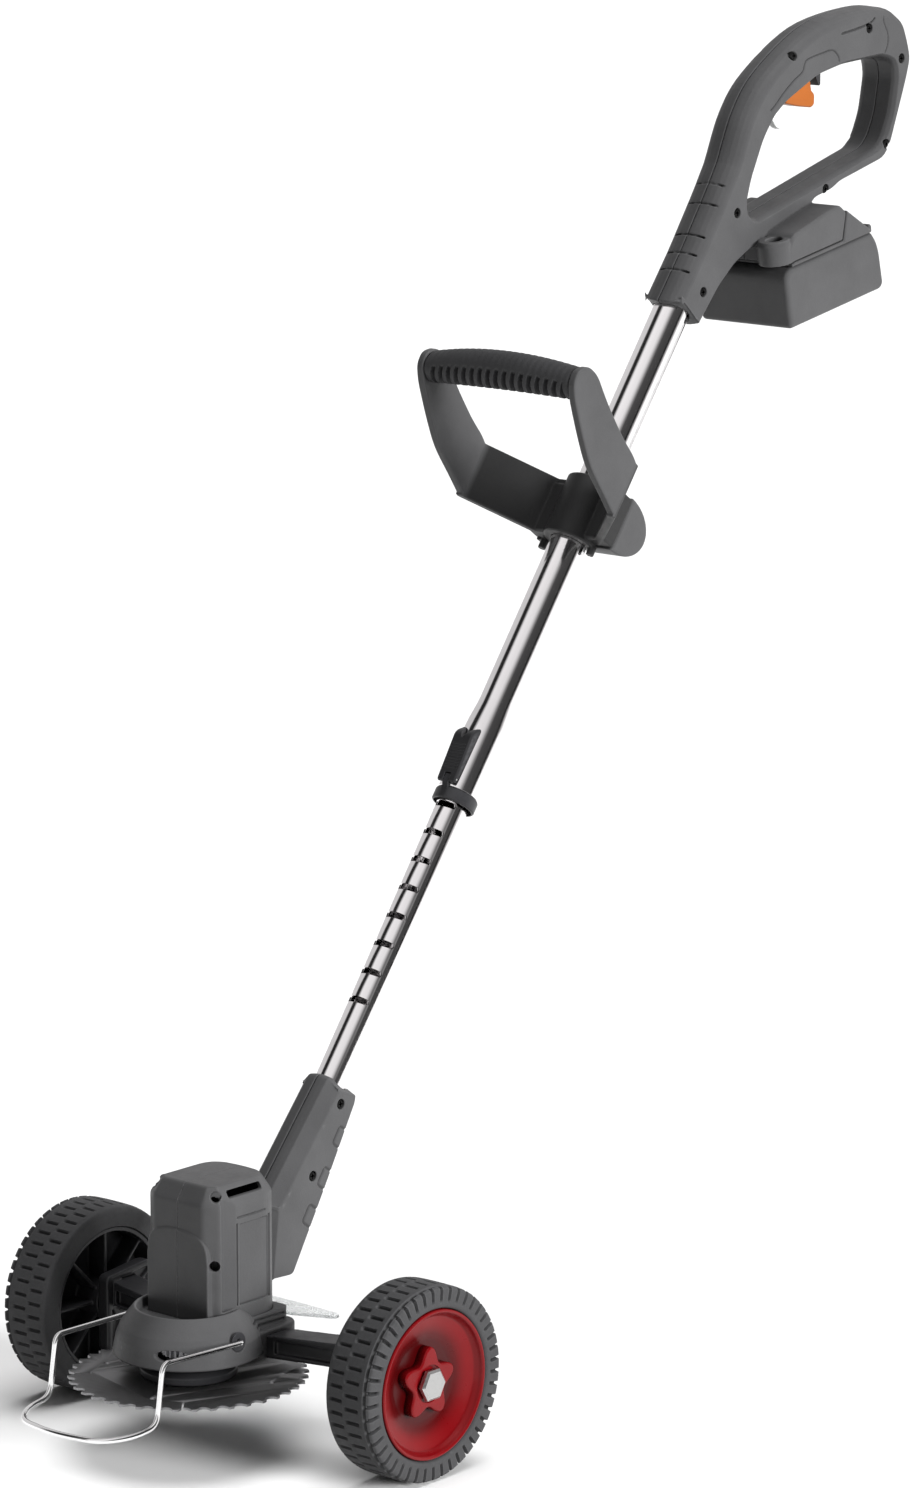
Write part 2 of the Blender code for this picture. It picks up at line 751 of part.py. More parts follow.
def pole_latch():
    """Flip lever whose finger drops through the tube windows into a notch."""
    side = ((475.9, 14.7), (475.9, 15.9), (477.2, 16.9), (509.6, 19.2), (512.6, 17.6), (517.0, 12.6))
    side += ((514.0, 11.6), (478.0, 13.2))
    outline = [pole_yz(s, n) for s, n in side]
    lever = slab_x("latch_lever", outline, -LATCH_HALF, LATCH_HALF, black_plastic(), 0.7, True)
    bore = [(on_pole(440, 0), on_pole(540, 0), SWAGE_R + GAP)]
    cut(lever, cylinders("lever_bore", bore, segments=24))
    fork = [pole_yz(s, n) for s, n in ((465, 5.0), (465, 24.0), (482.2, 24.0), (482.2, 5.0))]
    cut(lever, slab_x("lever_fork", fork, -TAB_HALF - GAP, TAB_HALF + GAP))
    add(lever, slab_x("lever_finger", finger_outline(), -4.2, 4.2))
    cut(lever, pin_bore("lever_pin_hole", 1.0))
    settle(lever)
    centre = on_pole(LATCH_PIVOT[0], LATCH_PIVOT[1])
    pivot(lever, centre)
    reach = Vector((LATCH_HALF - 0.3, 0, 0))
    cylinders("latch_pin", [(centre - reach, centre + reach, 0.85)], zinc_steel(), 12)


# ---------------------------------------------------------------- auxiliary handle

def slab_s(name, points, s0, s1, paint=None, bevel=0.0):
    """Outline in the plane across the pole, carried along the pole from s0 to s1."""
    rings = []
    for s, depth in ((s0, bevel), (s0 + bevel, 0.0), (s1 - bevel, 0.0), (s1, bevel)):
        if bevel or s in (s0, s1):
            rings.append([on_pole(s, n, x) for x, n in inset(points, depth)])
    return loft(name, rings if bevel else [rings[0], rings[-1]], paint)


def across_both(half):
    return half + [(-x, n) for x, n in reversed(half)]


def aux_screw_axis(side, start, end):
    x = AUX_SCREW_X * side
    return (on_pole(AUX_S, start, x), on_pole(AUX_S, end, x))


def aux_handle():
    outer = AUX_HALF + 0.6
    inner = AUX_HALF - 5.4
    lower = [(outer, 50.0), (outer, 44.0), (24.0, -3.0)]
    upper = [(25.0, 7.0), (inner, 48.0), (inner, 50.0)]
    ring = [(x, n) for x, n in lower] + [(-x, n) for x, n in reversed(lower)]
    ring += [(-x, n) for x, n in reversed(upper)] + upper
    body = slab_s("aux_handle", ring, AUX_S - 19.5, AUX_S + 20.5, charcoal(), 1.2)
    arm = [pole_yz(AUX_S - 18.9, 44.6), (325, 577.5), (311, 597), (302.5, 619), (295, 643), (294, 654)]
    arm += [(299, 662), (309, 663.5), (318, 657), (329, 636), (344, 613), (354.4, 600.5)]
    arm.append(pole_yz(AUX_S + 19.9, 44.6))
    for side in (-1, 1):
        faces = (side * (inner + 0.1), side * (outer - 0.1))
        add(body, slab_x("aux_arm_%d" % side, arm, faces[0], faces[1], bevel=1.2, both=True))
    collar = [(on_pole(AUX_S - 22, 0), on_pole(AUX_S + 22, 0), 18.5)]
    add(body, cylinders("aux_collar", collar, segments=24))
    block = [(33.0, -6.0), (33.0, 8.0)]
    add(body, slab_s("aux_block", across_both(block), AUX_S - 19.0, AUX_S + 17.0, bevel=1.5))
    cut(body, cylinders("aux_bore", [(on_pole(600, 0), on_pole(760, 0), UPPER_R + GAP)], segments=24))
    rear = [(60.0, -4.0), (60.0, -60.0)]
    cut(body, slab_s("aux_parting", across_both(rear), 640.0, 730.0))
    holes = [aux_screw_axis(side, -20, 6) + (2.3,) for side in (-1, 1)]
    cut(body, cylinders("aux_screw_holes", holes, segments=SCREW_TURN))
    settle(body)
    outline = [pole_yz(AUX_S - 1 + p[0], -4.3 + 1.45 * p[1]) for p in arc((0, 0), 19.5, 180, 360, 10)]
    clamp = slab_x("aux_clamp", outline, -33.0, 33.0, charcoal(), 1.5, True)
    cut(clamp, cylinders("clamp_bore", [(on_pole(600, 0), on_pole(760, 0), UPPER_R + GAP)], segments=24))
    sinks = [aux_screw_axis(side, -60, 30) + (2.3,) for side in (-1, 1)]
    cut(clamp, cylinders("clamp_sinks", sinks, segments=SCREW_TURN))
    heads = [aux_screw_axis(side, -60, -16) + (4.6,) for side in (-1, 1)]
    cut(clamp, cylinders("clamp_heads", heads, segments=SCREW_TURN))
    settle(clamp)
    for side, word in ((-1, "left"), (1, "right")):
        axis = on_pole(0, 1) - on_pole(0, 0)
        profile = [(-20.0, 4.2), (-16.4, 4.2), (-16.4, 2.0), (5.0, 2.0)]
        centre = on_pole(AUX_S, 0, AUX_SCREW_X * side)
        turned("aux_screw_" + word, profile, centre, axis, zinc_steel(), SCREW_TURN)
    aux_grip()


def aux_grip():
    rings = []
    steps = 12
    reach = AUX_HALF - 5.4 - GAP
    for i in range(steps + 1):
        t = -1 + 2 * i / steps
        rise = 1 - t * t
        centre = Vector((reach * t, 306.5 - 2.0 * rise, 651.5 + 3.5 * rise))
        ring = []
        for k in range(14):
            c, s = polar(1.0, 2 * math.pi * k / 14)
            ring.append(centre + Vector((0, c * 12.0, s * (10.6 + 2.2 * rise))))
        rings.append(ring)
    loft("aux_grip", rings, grip_rubber(), round_angle=50)


# ---------------------------------------------------------------- neck and saw head

NECK_HALF = 15.5
NECK_SCREWS = ((252.4, -0.6), (202.7, -3.9))


def neck():
    outline = [pole_yz(266, 14.0), (60.0 + GAP, 149.0), (60.0 + GAP, 99.5), (82.0, 98.5)]
    outline += [pole_yz(159, -25.0), pole_yz(202, -21.0), pole_yz(260, -14.5), pole_yz(266, -11.5)]
    full = [8.5, 8.5, 2.0, 2.0, 2.5, 2.5, 2.5, 2.5]
    rings = [at_x(outline, GAP / 2), at_x(outline, 8.0), at_x(inset(outline, full), NECK_HALF)]
    shell = loft("neck_shell_right", rings, charcoal())
    bore = [(on_pole(LOWER_BOTTOM - 1.0, 0), on_pole(290, 0), LOWER_R + GAP)]
    cut(shell, cylinders("neck_bore", bore, segments=24))
    hollow = [(63.5, 124), (63.5, 103), (80, 102), (87, 112), (80, 122)]
    cut(shell, slab_x("neck_hollow", hollow, -1.0, NECK_HALF - 3.0))
    pockets = []
    for s, n in ((237.0, -13.2), (206.0, -16.4), (180.0, -19.0)):
        ring = [pole_yz(s - 5, n), pole_yz(s - 5, n + 5.2), pole_yz(s + 5, n + 6.2), pole_yz(s + 5, n + 1.0)]
        pockets.append(at_x(ring, NECK_HALF - 1.2))
        pockets.append(at_x(ring, NECK_HALF + 1.0))
    bm = bmesh.new()
    for i in range(0, len(pockets), 2):
        loft_into(bm, [pockets[i], pockets[i + 1]])
    cut(shell, new_object("neck_pockets", close_mesh(bm, "neck_pockets", 0)))
    points = [pole_yz(s, n) for s, n in NECK_SCREWS]
    cut(shell, screw_holes("neck_screw_holes", points, NECK_HALF))
    settle(shell)
    mirrored(shell, "neck_shell_left", charcoal())
    for i, (y, z) in enumerate(points):
        side_screw("neck_screw_%d" % (i + 1), y, z, NECK_HALF, 9.0)


def housing_outline(grow=0.0):
    right = [(21.0, HOUSING_FRONT + PAD_PROUD), (HOUSING_HALF, -1.5), (HOUSING_HALF, 40.0), (27.0, 50.0), (17.0, 57.0)]
    back = [(0.0, HOUSING_BACK)]
    left = [(-x, y) for x, y in reversed(right)]
    return inset(right + back + left, -grow) if grow else right + back + left


def front_pad(grow=0.0):
    """Arched pad on the front of the housing, in the XZ plane."""
    half = [(PAD_HALF, HOUSING_BOTTOM), (PAD_HALF, 129.0), (24.6, 138.0), (19.4, 143.6), (10.0, 146.6)]
    return inset(half + [(0.0, 147.3)] + [(-x, z) for x, z in reversed(half)], -grow)


def pad_block(name, grow=0.0, paint=None):
    """The arched pad as a solid that reaches back into the housing front."""
    pad = front_pad(grow)
    front = [(x, HOUSING_FRONT - grow, z) for x, z in pad]
    back = [(x, 1.0 + grow, z) for x, z in pad]
    return loft(name, [front, back], paint)


def housing():
    outline = housing_outline()
    rings = [
        at_z(outline, HOUSING_BOTTOM),
        at_z(outline, HOUSING_SHOULDER),
        at_z(inset(outline, SHOULDER_IN), HOUSING_TOP),
    ]
    shell = loft("motor_housing_right", rings, charcoal())
    add(shell, pad_block("housing_pad"))
    rings = [
        at_z(inset(outline, WALL), HOUSING_BOTTOM - 2),
        at_z(inset(outline, WALL), HOUSING_SHOULDER - 1.5),
        at_z(inset(outline, SHOULDER_IN + 1.6), HOUSING_TOP - WALL),
    ]
    cut(shell, loft("housing_hollow", rings))
    cut(shell, boxes("housing_half", [((-60, -40, 40), (GAP / 2, 90, 220))]))
    panel = [((HOUSING_HALF - 1.0, 10.0, 100.0), (HOUSING_HALF + 5, 38.0, 153.0))]
    cut(shell, boxes("side_panel", panel))
    vent = [((15, 6.0, 168.2), (40, 38.0, 172.4))]
    cut(shell, boxes("side_vent", vent))
    places = [((27.5, -3.5, 170.5), (0.6, -0.8, 0.0)), ((27.5, -4.5, 126.6), (0.6, -0.8, 0.0))]
    items = []
    for point, axis in places:
        p = Vector(point)
        a = Vector(axis).normalized()
        items.append((p - a * 3, p + a * 8, 3.4))
    cut(shell, cylinders("housing_screw_sinks", items, segments=SCREW_TURN))
    settle(shell)
    mirrored(shell, "motor_housing_left", charcoal())


def motor():
    profile = [(79.6, 7.0), (82.2, 7.0), (82.2, MOTOR_R), (146, MOTOR_R), (152, 17.0), (152, 2.8)]
    profile += [(150, 2.8), (150, 15.5), (145, 19.0), (84.2, 19.0), (84.2, 5.0), (81.4, 5.0), (81.4, 2.8)]
    profile += [(79.6, 2.8)]
    turned("motor_can", profile, (0, MOTOR_Y, 0), (0, 0, 1), motor_steel(), 24, True)
    bars = [(62.6, 158.0, 2.5), (95.0, 133.0, 13.0)]
    gear(9, 5.7, (64.4, 72.0), "motor_shaft", MOTOR_Y, bars)
    gear(24, 15.7, (64.6, 71.6), "blade_spindle", 0.0, [(40.0, 82.0, SPINDLE_R)])
    top = HOUSING_BOTTOM - GAP
    profile = [(73.5, 11.0), (top, 11.0), (top, SPINDLE_R + GAP), (73.5, SPINDLE_R + GAP)]
    turned("spindle_bearing", profile, (0, 0, 0), (0, 0, 1), bearing_steel(), 20, True)


def gear(teeth, pitch_r, span, name, centre_y, bars):
    """Spur gear in one piece with its shaft. Each bar is (lowest z, highest z, radius)."""
    outline = []
    width = 2 * math.pi / teeth
    for i in range(teeth):
        base = width * i + math.pi / 2
        for part, radius in ((-0.30, -1.3), (-0.12, 1.0), (0.12, 1.0), (0.30, -1.3)):
            x, y = polar(pitch_r + radius, base + part * width)
            outline.append((x, centre_y + y))
    wheel = slab_z(name, outline, span[0], span[1], gear_steel())
    shaft = [((0, centre_y, low), (0, centre_y, high), radius) for low, high, radius in bars]
    for i, bar in enumerate(shaft):
        add(wheel, cylinders("%s_bar_%d" % (name, i), [bar], segments=20))
    settle(wheel)
    pivot(wheel, (0, centre_y, span[0]))


def skirt():
    profile = [(SKIRT_BOTTOM, SKIRT_R), (71.5, 47.0), (84.4, 43.0), (92.0, 38.0), (98.0, 31.0), (101.5, 24.0)]
    profile += [(103.0, 18.0)]
    guard = turned("blade_guard", profile, (0, 0, 0), (0, 0, 1), charcoal(), 30)
    low = [(SHELF_HALF, 4.0), (SHELF_HALF, 58.0), (31.0, SHELF_BACK), (-31.0, SHELF_BACK)]
    low += [(-SHELF_HALF, 58.0), (-SHELF_HALF, 4.0)]
    high = [(33.5, 4.0), (33.5, 52.0), (26.0, 60.5), (-26.0, 60.5), (-33.5, 52.0), (-33.5, 4.0)]
    shelf = loft("guard_shelf", [at_z(low, SKIRT_BOTTOM + 0.5), at_z(low, 77.0), at_z(high, 92.5)])
    add(guard, shelf)
    cut(guard, slab_z("housing_seat", housing_outline(GAP), HOUSING_BOTTOM - GAP, 130))
    cut(guard, pad_block("pad_seat", GAP))
    inner = [(55.0, SKIRT_R - WALL), (71.0, 47.0 - WALL), (83.4, 43.0 - WALL), (91.0, 38.0 - WALL - 0.6)]
    inner += [(96.0, 31.0 - WALL - 1.0)]
    hollow = turned("guard_hollow", inner, (0, 0, 0), (0, 0, 1), None, 30)
    back = [(SHELF_HALF - WALL, 8.0), (SHELF_HALF - WALL, 57.0), (30.0, SHELF_BACK - WALL)]
    back += [(-30.0, SHELF_BACK - WALL), (-SHELF_HALF + WALL, 57.0), (-SHELF_HALF + WALL, 8.0)]
    add(hollow, slab_z("shelf_hollow", back, 54.0, 75.0))
    cut(hollow, slab_z("housing_wall", housing_outline(GAP + WALL), HOUSING_BOTTOM - GAP - WALL, 130))
    cut(guard, hollow)
    cut(guard, cylinders("guard_bores", [((0, 0, 50), (0, 0, HOUSING_BOTTOM), 11.3)], segments=24))
    cut(guard, cylinders("pinion_bore", [((0, MOTOR_Y, 50), (0, MOTOR_Y, 90), 6.6)], segments=24))
    cut(guard, cylinders("wire_holes", [((-60, -2, 81), (60, -2, 81), 2.1)], segments=12))
    seats = [((44.4 * side, -2, 81), (60 * side, -2, 81), 6.6) for side in (-1, 1)]
    cut(guard, cylinders("washer_seats", seats, segments=14))
    slot = [(18, -60), (34, -60), (34, -30), (18, -30)]
    cut(guard, slab_z("front_slot", slot, 66.0, 70.5))
    settle(guard)


def blade():
    outline = []
    root = BLADE_R - TOOTH_DEPTH
    for i in range(BLADE_TEETH):
        base = 2 * math.pi * i / BLADE_TEETH
        width = 2 * math.pi / BLADE_TEETH
        shape = ((0.0, BLADE_R), (0.34, BLADE_R - 0.9), (0.46, root), (0.90, root + 0.8))
        for part, radius in shape:
            outline.append(polar(radius, base + part * width))
    disc = slab_z("saw_blade", outline, BLADE_Z - BLADE_THICK / 2, BLADE_Z + BLADE_THICK / 2, blade_steel())
    items = [((0, 0, 40), (0, 0, 60), SPINDLE_R + GAP)]
    for k in range(4):
        x, y = polar(56.5, math.radians(20 + 90 * k))
        items.append(((x, y, 40), (x, y, 60), 2.2))
    cut(disc, cylinders("blade_holes", items, segments=16))
    bm = bmesh.new()
    for k in range(4):
        angle = math.radians(-49.5 + 90 * k)
        c, s = polar(1.0, angle)
        ring = []
        for along, across in ((60, -0.7), (85, -0.7), (85, 0.7), (60, 0.7)):
            ring.append((along * c - across * s, along * s + across * c))
        loft_into(bm, [at_z(ring, 40), at_z(ring, 60)])
    cut(disc, new_object("blade_slots", close_mesh(bm, "blade_slots", 0)))
    settle(disc)
    pivot(disc, (0, 0, BLADE_Z))
    top = BLADE_Z + BLADE_THICK / 2 + GAP
    low = BLADE_Z - BLADE_THICK / 2 - GAP
    bore = SPINDLE_R + GAP
    profile = [(top, bore), (top, HUB_R - 1.0), (top + 1, HUB_R), (top + 5, HUB_R), (top + 8, HUB_R - 4)]
    profile += [(top + 8, 14.0), (top + 11, 12.5), (top + 11, bore)]
    flange = turned("blade_flange", profile, (0, 0, 0), (0, 0, 1), black_plastic(), 28, True)
    pivot(flange, (0, 0, top))
    hexagon = [(low - 8.5, 11.0), (low - 1.0, 11.0)]
    nut = turned("blade_nut", hexagon, (0, 0, 0), (0, 0, 1), zinc_steel(), 6, False, 10)
    add(nut, turned("nut_washer", [(low - 2.6, 16.0), (low, 16.0)], (0, 0, 0), (0, 0, 1), None, 24))
    cut(nut, cylinders("nut_bore", [((0, 0, 30), (0, 0, 60), bore)], segments=20))
    settle(nut)
    pivot(nut, (0, 0, low))


def wire_guard():
    leg = 48.8
    axis_y = -2.0
    axis_z = 81.0
    half = [
        (38.5, axis_y, axis_z), (leg - 6.0, axis_y, axis_z), (leg, axis_y, axis_z),
        (leg - 2.5, -71.0, 83.0),
        (leg - 2.5, -77.0, 44.5), (leg - 4.0, -93.0, 42.0), (leg - 12.0, -108.0, 41.0),
    ]
    other = [(-x, y, z) for x, y, z in reversed(half)]
    path = fillet(half + [(0, -120.0, 40.5)] + other, 6.0, 2)
    wire = pipe("wire_guard", path, 1.75, bright_steel())
    pivot(wire, (0, axis_y, axis_z))
    for side, word in ((1, "right"), (-1, "left")):
        profile = [(0.0, 6.2), (0.7, 6.2), (1.1, 5.8), (1.1, 2.1), (0.0, 2.1)]
        centre = (side * 44.75, axis_y, axis_z)
        turned("guard_washer_" + word, profile, centre, (side, 0, 0), black_plastic(), 14, True)


def rear_guard():
    inner = [(26.0, SHELF_BACK + GAP), (-26.0, SHELF_BACK + GAP)]
    outline = inner + [(-50.0, 84.0), (-46.0, 92.0), (0.0, 95.0), (46.0, 92.0), (50.0, 84.0)]
    top = [(x, y, 81.0 - 0.12 * (y - SHELF_BACK)) for x, y in outline]
    low = [(x, y, z - 2.0) for x, y, z in top]
    loft("rear_guard", [low, top], frosted_plastic())


def wheel_bracket():
    plate = [(40.0, 34.0), (46.0, 28.0), (68.0, 28.0), (84.0, 46.0), (84.0, 84.0), (78.0, 87.0), (42.0, 83.0)]
    plate = plate + [(40.0, 80.0)]
    arm = slab_x("wheel_bracket_right", plate, 109.5, 119.0, black_plastic(), 1.5, True)
    near = [(SHELF_HALF + GAP, 31.0, 61.2), (SHELF_HALF + GAP, 52.0, 61.2)]
    near += [(SHELF_HALF + GAP, 52.0, 76.0), (SHELF_HALF + GAP, 31.0, 76.0)]
    far = [(112.0, 46.0, 63.0), (112.0, 68.0, 63.0), (112.0, 68.0, 79.0), (112.0, 46.0, 79.0)]
    add(arm, loft("bracket_bar", [near, far]))
    bore = [((100, WHEEL_Y, WHEEL_R), (130, WHEEL_Y, WHEEL_R), AXLE_R + GAP)]
    cut(arm, cylinders("bracket_bore", bore, segments=20))
    settle(arm)
    mirrored(arm, "wheel_bracket_left", black_plastic())


def wheel():
    inside = WHEEL_OUT - TYRE_WIDTH
    centre = (0, WHEEL_Y, WHEEL_R)
    axis = (1, 0, 0)
    profile = [(inside, 48.2), (inside, 59.5), (inside + 3, 62.0), (inside + 8, WHEEL_R)]
    profile += [(WHEEL_OUT - 8, WHEEL_R), (WHEEL_OUT - 3, 62.0), (WHEEL_OUT, 59.5), (WHEEL_OUT, 48.6)]
    profile += [(WHEEL_OUT - 2, 48.2)]
    tyre = turned("tyre_right", profile, centre, axis, tread_rubber(), 40, True)
    drum = 47.9
    profile = [(inside + 1, drum), (inside + 1, 45.0), (141.0, 45.0), (141.0, 13.0), (121.5, 13.0)]
    profile += [(121.5, AXLE_R + GAP), (144.0, AXLE_R + GAP), (144.0, drum)]
    core = turned("wheel_core_right", profile, centre, axis, black_plastic(), 32, True)
    bm = bmesh.new()
    for k in range(8):
        angle = math.pi * k / 4
        c, s = polar(1.0, angle)
        ring = []
        for along, across in ((12.0, -1.0), (45.6, -1.0), (45.6, 1.0), (12.0, 1.0)):
            ring.append((WHEEL_Y + along * c - across * s, WHEEL_R + along * s + across * c))
        loft_into(bm, [at_x(ring, 126.0), at_x(ring, 141.6)])
    add(core, new_object("core_ribs", close_mesh(bm, "core_ribs", 0)))
    settle(core)
    profile = [(144.3, AXLE_R + GAP), (144.3, 28.0), (150.5, 42.0), (150.5, drum), (158.0, drum)]
    profile += [(158.4, 47.0), (158.4, 45.6), (153.5, 42.5), (147.0, 26.0), (147.0, AXLE_R + GAP)]
    rim = turned("rim_right", profile, centre, axis, red_plastic(), 36, True)
    knob = star_knob()
    bolt = axle_bolt()
    made = (tyre, core, rim, knob, bolt)
    words = ("tyre", "wheel_core", "rim", "star_knob", "axle_bolt")
    for piece, word in zip(made, words):
        other = mirrored(piece, word + "_left", piece.data.materials[0])
        if word != "axle_bolt":
            pivot(piece, (0, WHEEL_Y, WHEEL_R))
            pivot(other, (0, WHEEL_Y, WHEEL_R))


def star_knob():
    outline = []
    count = 30
    for i in range(count):
        angle = 2 * math.pi * i / count
        radius = 19.5 + 4.2 * math.cos(5 * angle)
        y, z = polar(radius, angle + 0.25)
        outline.append((WHEEL_Y + y, WHEEL_R + z))
    knob = slab_x("star_knob_right", outline, 147.3, 154.0, red_plastic(), 1.5)
    cut(knob, cylinders("knob_bore", [((140, WHEEL_Y, WHEEL_R), (170, WHEEL_Y, WHEEL_R), AXLE_R + GAP)]))
    return settle(knob)


def axle_bolt():
    profile = [(104.0, 3.8), (105.2, AXLE_R), (155.5, AXLE_R)]
    bolt = turned("axle_bolt_right", profile, (0, WHEEL_Y, WHEEL_R), (1, 0, 0), zinc_steel(), 20)
    hexagon = [(154.3, 10.2), (154.3, 11.0), (158.0, 11.0), (158.5, 9.6)]
    add(bolt, turned("bolt_head", hexagon, (0, WHEEL_Y, WHEEL_R), (1, 0, 0), None, 6))
    return settle(bolt)


# ---------------------------------------------------------------- assembly

def world_bounds():
    bpy.context.view_layer.update()
    graph = bpy.context.evaluated_depsgraph_get()
    low = Vector((1e9, 1e9, 1e9))
    high = -low
    for part in PARTS.objects:
        shape = part.evaluated_get(graph)
        for vertex in shape.data.vertices:
            p = shape.matrix_world @ vertex.co
            low = Vector([min(a, b) for a, b in zip(low, p)])
            high = Vector([max(a, b) for a, b in zip(high, p)])
    return low, high


def centre_all():
    """Move every piece and cutter so that the origin is the bottom centre."""
    low, high = world_bounds()
    shift = Vector((-(low.x + high.x) / 2, -(low.y + high.y) / 2, -low.z))
    for group in (PARTS, CUTTERS):
        for item in group.objects:
            item.location += shift
    print("shift", [round(v * 1000, 4) for v in shift])


for item in list(bpy.data.objects):
    bpy.data.objects.remove(item, do_unlink=True)
PARTS = collection("lawn_edger")
CUTTERS = collection("cutters")

handle_shell()
switch_group()
battery()
pole()
pole_latch()
aux_handle()
neck()
housing()
motor()
skirt()
blade()
wire_guard()
rear_guard()
wheel_bracket()
wheel()
centre_all()
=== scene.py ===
"""Looks of the battery lawn edger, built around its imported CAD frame.

Lengths are in millimetres until a mesh is made. While a piece is made, the blade spindle stands
at X = Y = 0 and the wheels touch Z = 0. place() then carries it into the frame.
"""

import json
import math

import bmesh
import bpy
from mathutils import Matrix, Vector

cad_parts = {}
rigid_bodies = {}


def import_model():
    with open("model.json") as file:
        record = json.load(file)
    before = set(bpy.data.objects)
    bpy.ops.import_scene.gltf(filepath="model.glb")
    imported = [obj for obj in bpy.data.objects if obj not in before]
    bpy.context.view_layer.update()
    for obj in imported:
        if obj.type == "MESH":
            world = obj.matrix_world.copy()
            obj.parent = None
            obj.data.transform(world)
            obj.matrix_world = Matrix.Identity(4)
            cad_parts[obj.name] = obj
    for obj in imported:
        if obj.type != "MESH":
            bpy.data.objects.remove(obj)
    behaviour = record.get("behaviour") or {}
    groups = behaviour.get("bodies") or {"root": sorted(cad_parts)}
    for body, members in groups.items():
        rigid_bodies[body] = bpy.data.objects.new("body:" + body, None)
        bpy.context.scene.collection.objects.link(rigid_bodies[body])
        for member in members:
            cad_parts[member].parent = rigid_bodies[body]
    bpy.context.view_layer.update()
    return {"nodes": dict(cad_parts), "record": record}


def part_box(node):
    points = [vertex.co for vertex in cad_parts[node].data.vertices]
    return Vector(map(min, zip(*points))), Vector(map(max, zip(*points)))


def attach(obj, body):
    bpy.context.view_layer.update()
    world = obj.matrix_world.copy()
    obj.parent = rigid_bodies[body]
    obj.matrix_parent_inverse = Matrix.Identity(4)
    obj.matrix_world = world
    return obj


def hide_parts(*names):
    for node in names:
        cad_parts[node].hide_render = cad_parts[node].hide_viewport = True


for stale in list(bpy.data.objects):
    bpy.data.objects.remove(stale, do_unlink=True)
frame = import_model()

MM = 0.001
GAP = 0.3
WALL = 2.6
BODY_OF = {}
for body_name, members in frame["record"]["behaviour"]["bodies"].items():
    for member in members:
        BODY_OF[member] = body_name
blade_low, blade_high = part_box("saw_blade")
SHIFT = Vector((0.0, (blade_low.y + blade_high.y) / 2, 0.0))

# pole
LEAN = math.radians(53.64)
FOOT_Y = -23.1
UPPER_R = 12.5
SWAGE_R = 14.1
SWAGE_END = 474.0
COLLAR_LOW = 465.2
COLLAR_R = 14.7
LOWER_R = 10.75
NOTCH_FIRST = 319.9
NOTCH_PITCH = 20.4
NOTCH_COUNT = 10
LATCH_HALF = 7.8
LATCH_PIVOT = (478.5, 15.0)
FINGER_REACH = 25.7
TAB_HALF = 2.4

# saw head
BLADE_R = 76.2
BLADE_Z = 50.2
BLADE_TEETH = 40
SPINDLE_R = 6.0
HUB_R = 31.0
MOTOR_Y = 22.0
HOUSING_HALF = 31.0
HOUSING_FRONT = -9.5
HOUSING_TOP = 176.0
HOUSING_SHOULDER = 166.0
HOUSING_BOTTOM = 79.3
SKIRT_BOTTOM = 60.5
SKIRT_R = 47.8
SHELF_HALF = 38.0
SHELF_BACK = 65.0

# wheels
WHEEL_R = 62.5
WHEEL_Y = 55.3
WHEEL_OUT = 158.5
WHEEL_IN = 121.3
AXLE_R = 5.0
TREAD_LUGS = 45
LUG_STEPS = 12

# handles
LIMB_HALF = 16.0
FOOT_HALF = 39.0
PACK_HEIGHT = 44.0
AUX_HALF = 67.0
AUX_S = 684.0
AUX_SCREW_X = 24.5
AUX_CLAMP_R = 19.5
AUX_PEGS = (-24.5, 16.8)
SCREW_SINK = 3.2
NECK_HALF = 15.5


# ---------------------------------------------------------------- placing

def on_pole(s, n, x=0.0):
    """Point at length s along the pole axis and n in front of it."""
    y = FOOT_Y + s * math.cos(LEAN) - n * math.sin(LEAN)
    z = s * math.sin(LEAN) + n * math.cos(LEAN)
    return Vector((x, y, z))


def pole_yz(s, n):
    p = on_pole(s, n)
    return (p.y, p.z)


def pack_yz(b, c):
    """Point at b along the battery and c above its bottom, in the YZ plane."""
    tilt = math.radians(10.3)
    y = 555.0 + b * math.cos(tilt) - c * math.sin(tilt)
    z = 659.0 + b * math.sin(tilt) + c * math.cos(tilt)
    return (y, z)


def polar(radius, angle):
    return (radius * math.cos(angle), radius * math.sin(angle))


def at_x(points, x):
    return [(x, p[0], p[1]) for p in points]


def at_y(points, y):
    return [(p[0], y, p[1]) for p in points]


def at_z(points, z):
    return [(p[0], p[1], z) for p in points]


def at_s(points, s):
    return [on_pole(s, n, x) for x, n in points]


# ---------------------------------------------------------------- outlines

def inset(points, distance):
    """Mitred inset of an outline. distance is one number or one number per corner."""
    count = len(points)
    if not isinstance(distance, (list, tuple)):
        distance = [distance] * count
    total = 0.0
    for i, p in enumerate(points):
        q = points[(i + 1) % count]
        total += p[0] * q[1] - q[0] * p[1]
    sign = 1.0 if total > 0 else -1.0
    result = []
    for i in range(count):
        p = Vector(points[i][:2])
        before = (p - Vector(points[i - 1][:2])).normalized()
        after = (Vector(points[(i + 1) % count][:2]) - p).normalized()
        na = Vector((-before.y, before.x)) * sign
        nb = Vector((-after.y, after.x)) * sign
        mitre = (na + nb).normalized()
        result.append(tuple(p + mitre * distance[i] / max(mitre.dot(na), 0.35)))
    return result


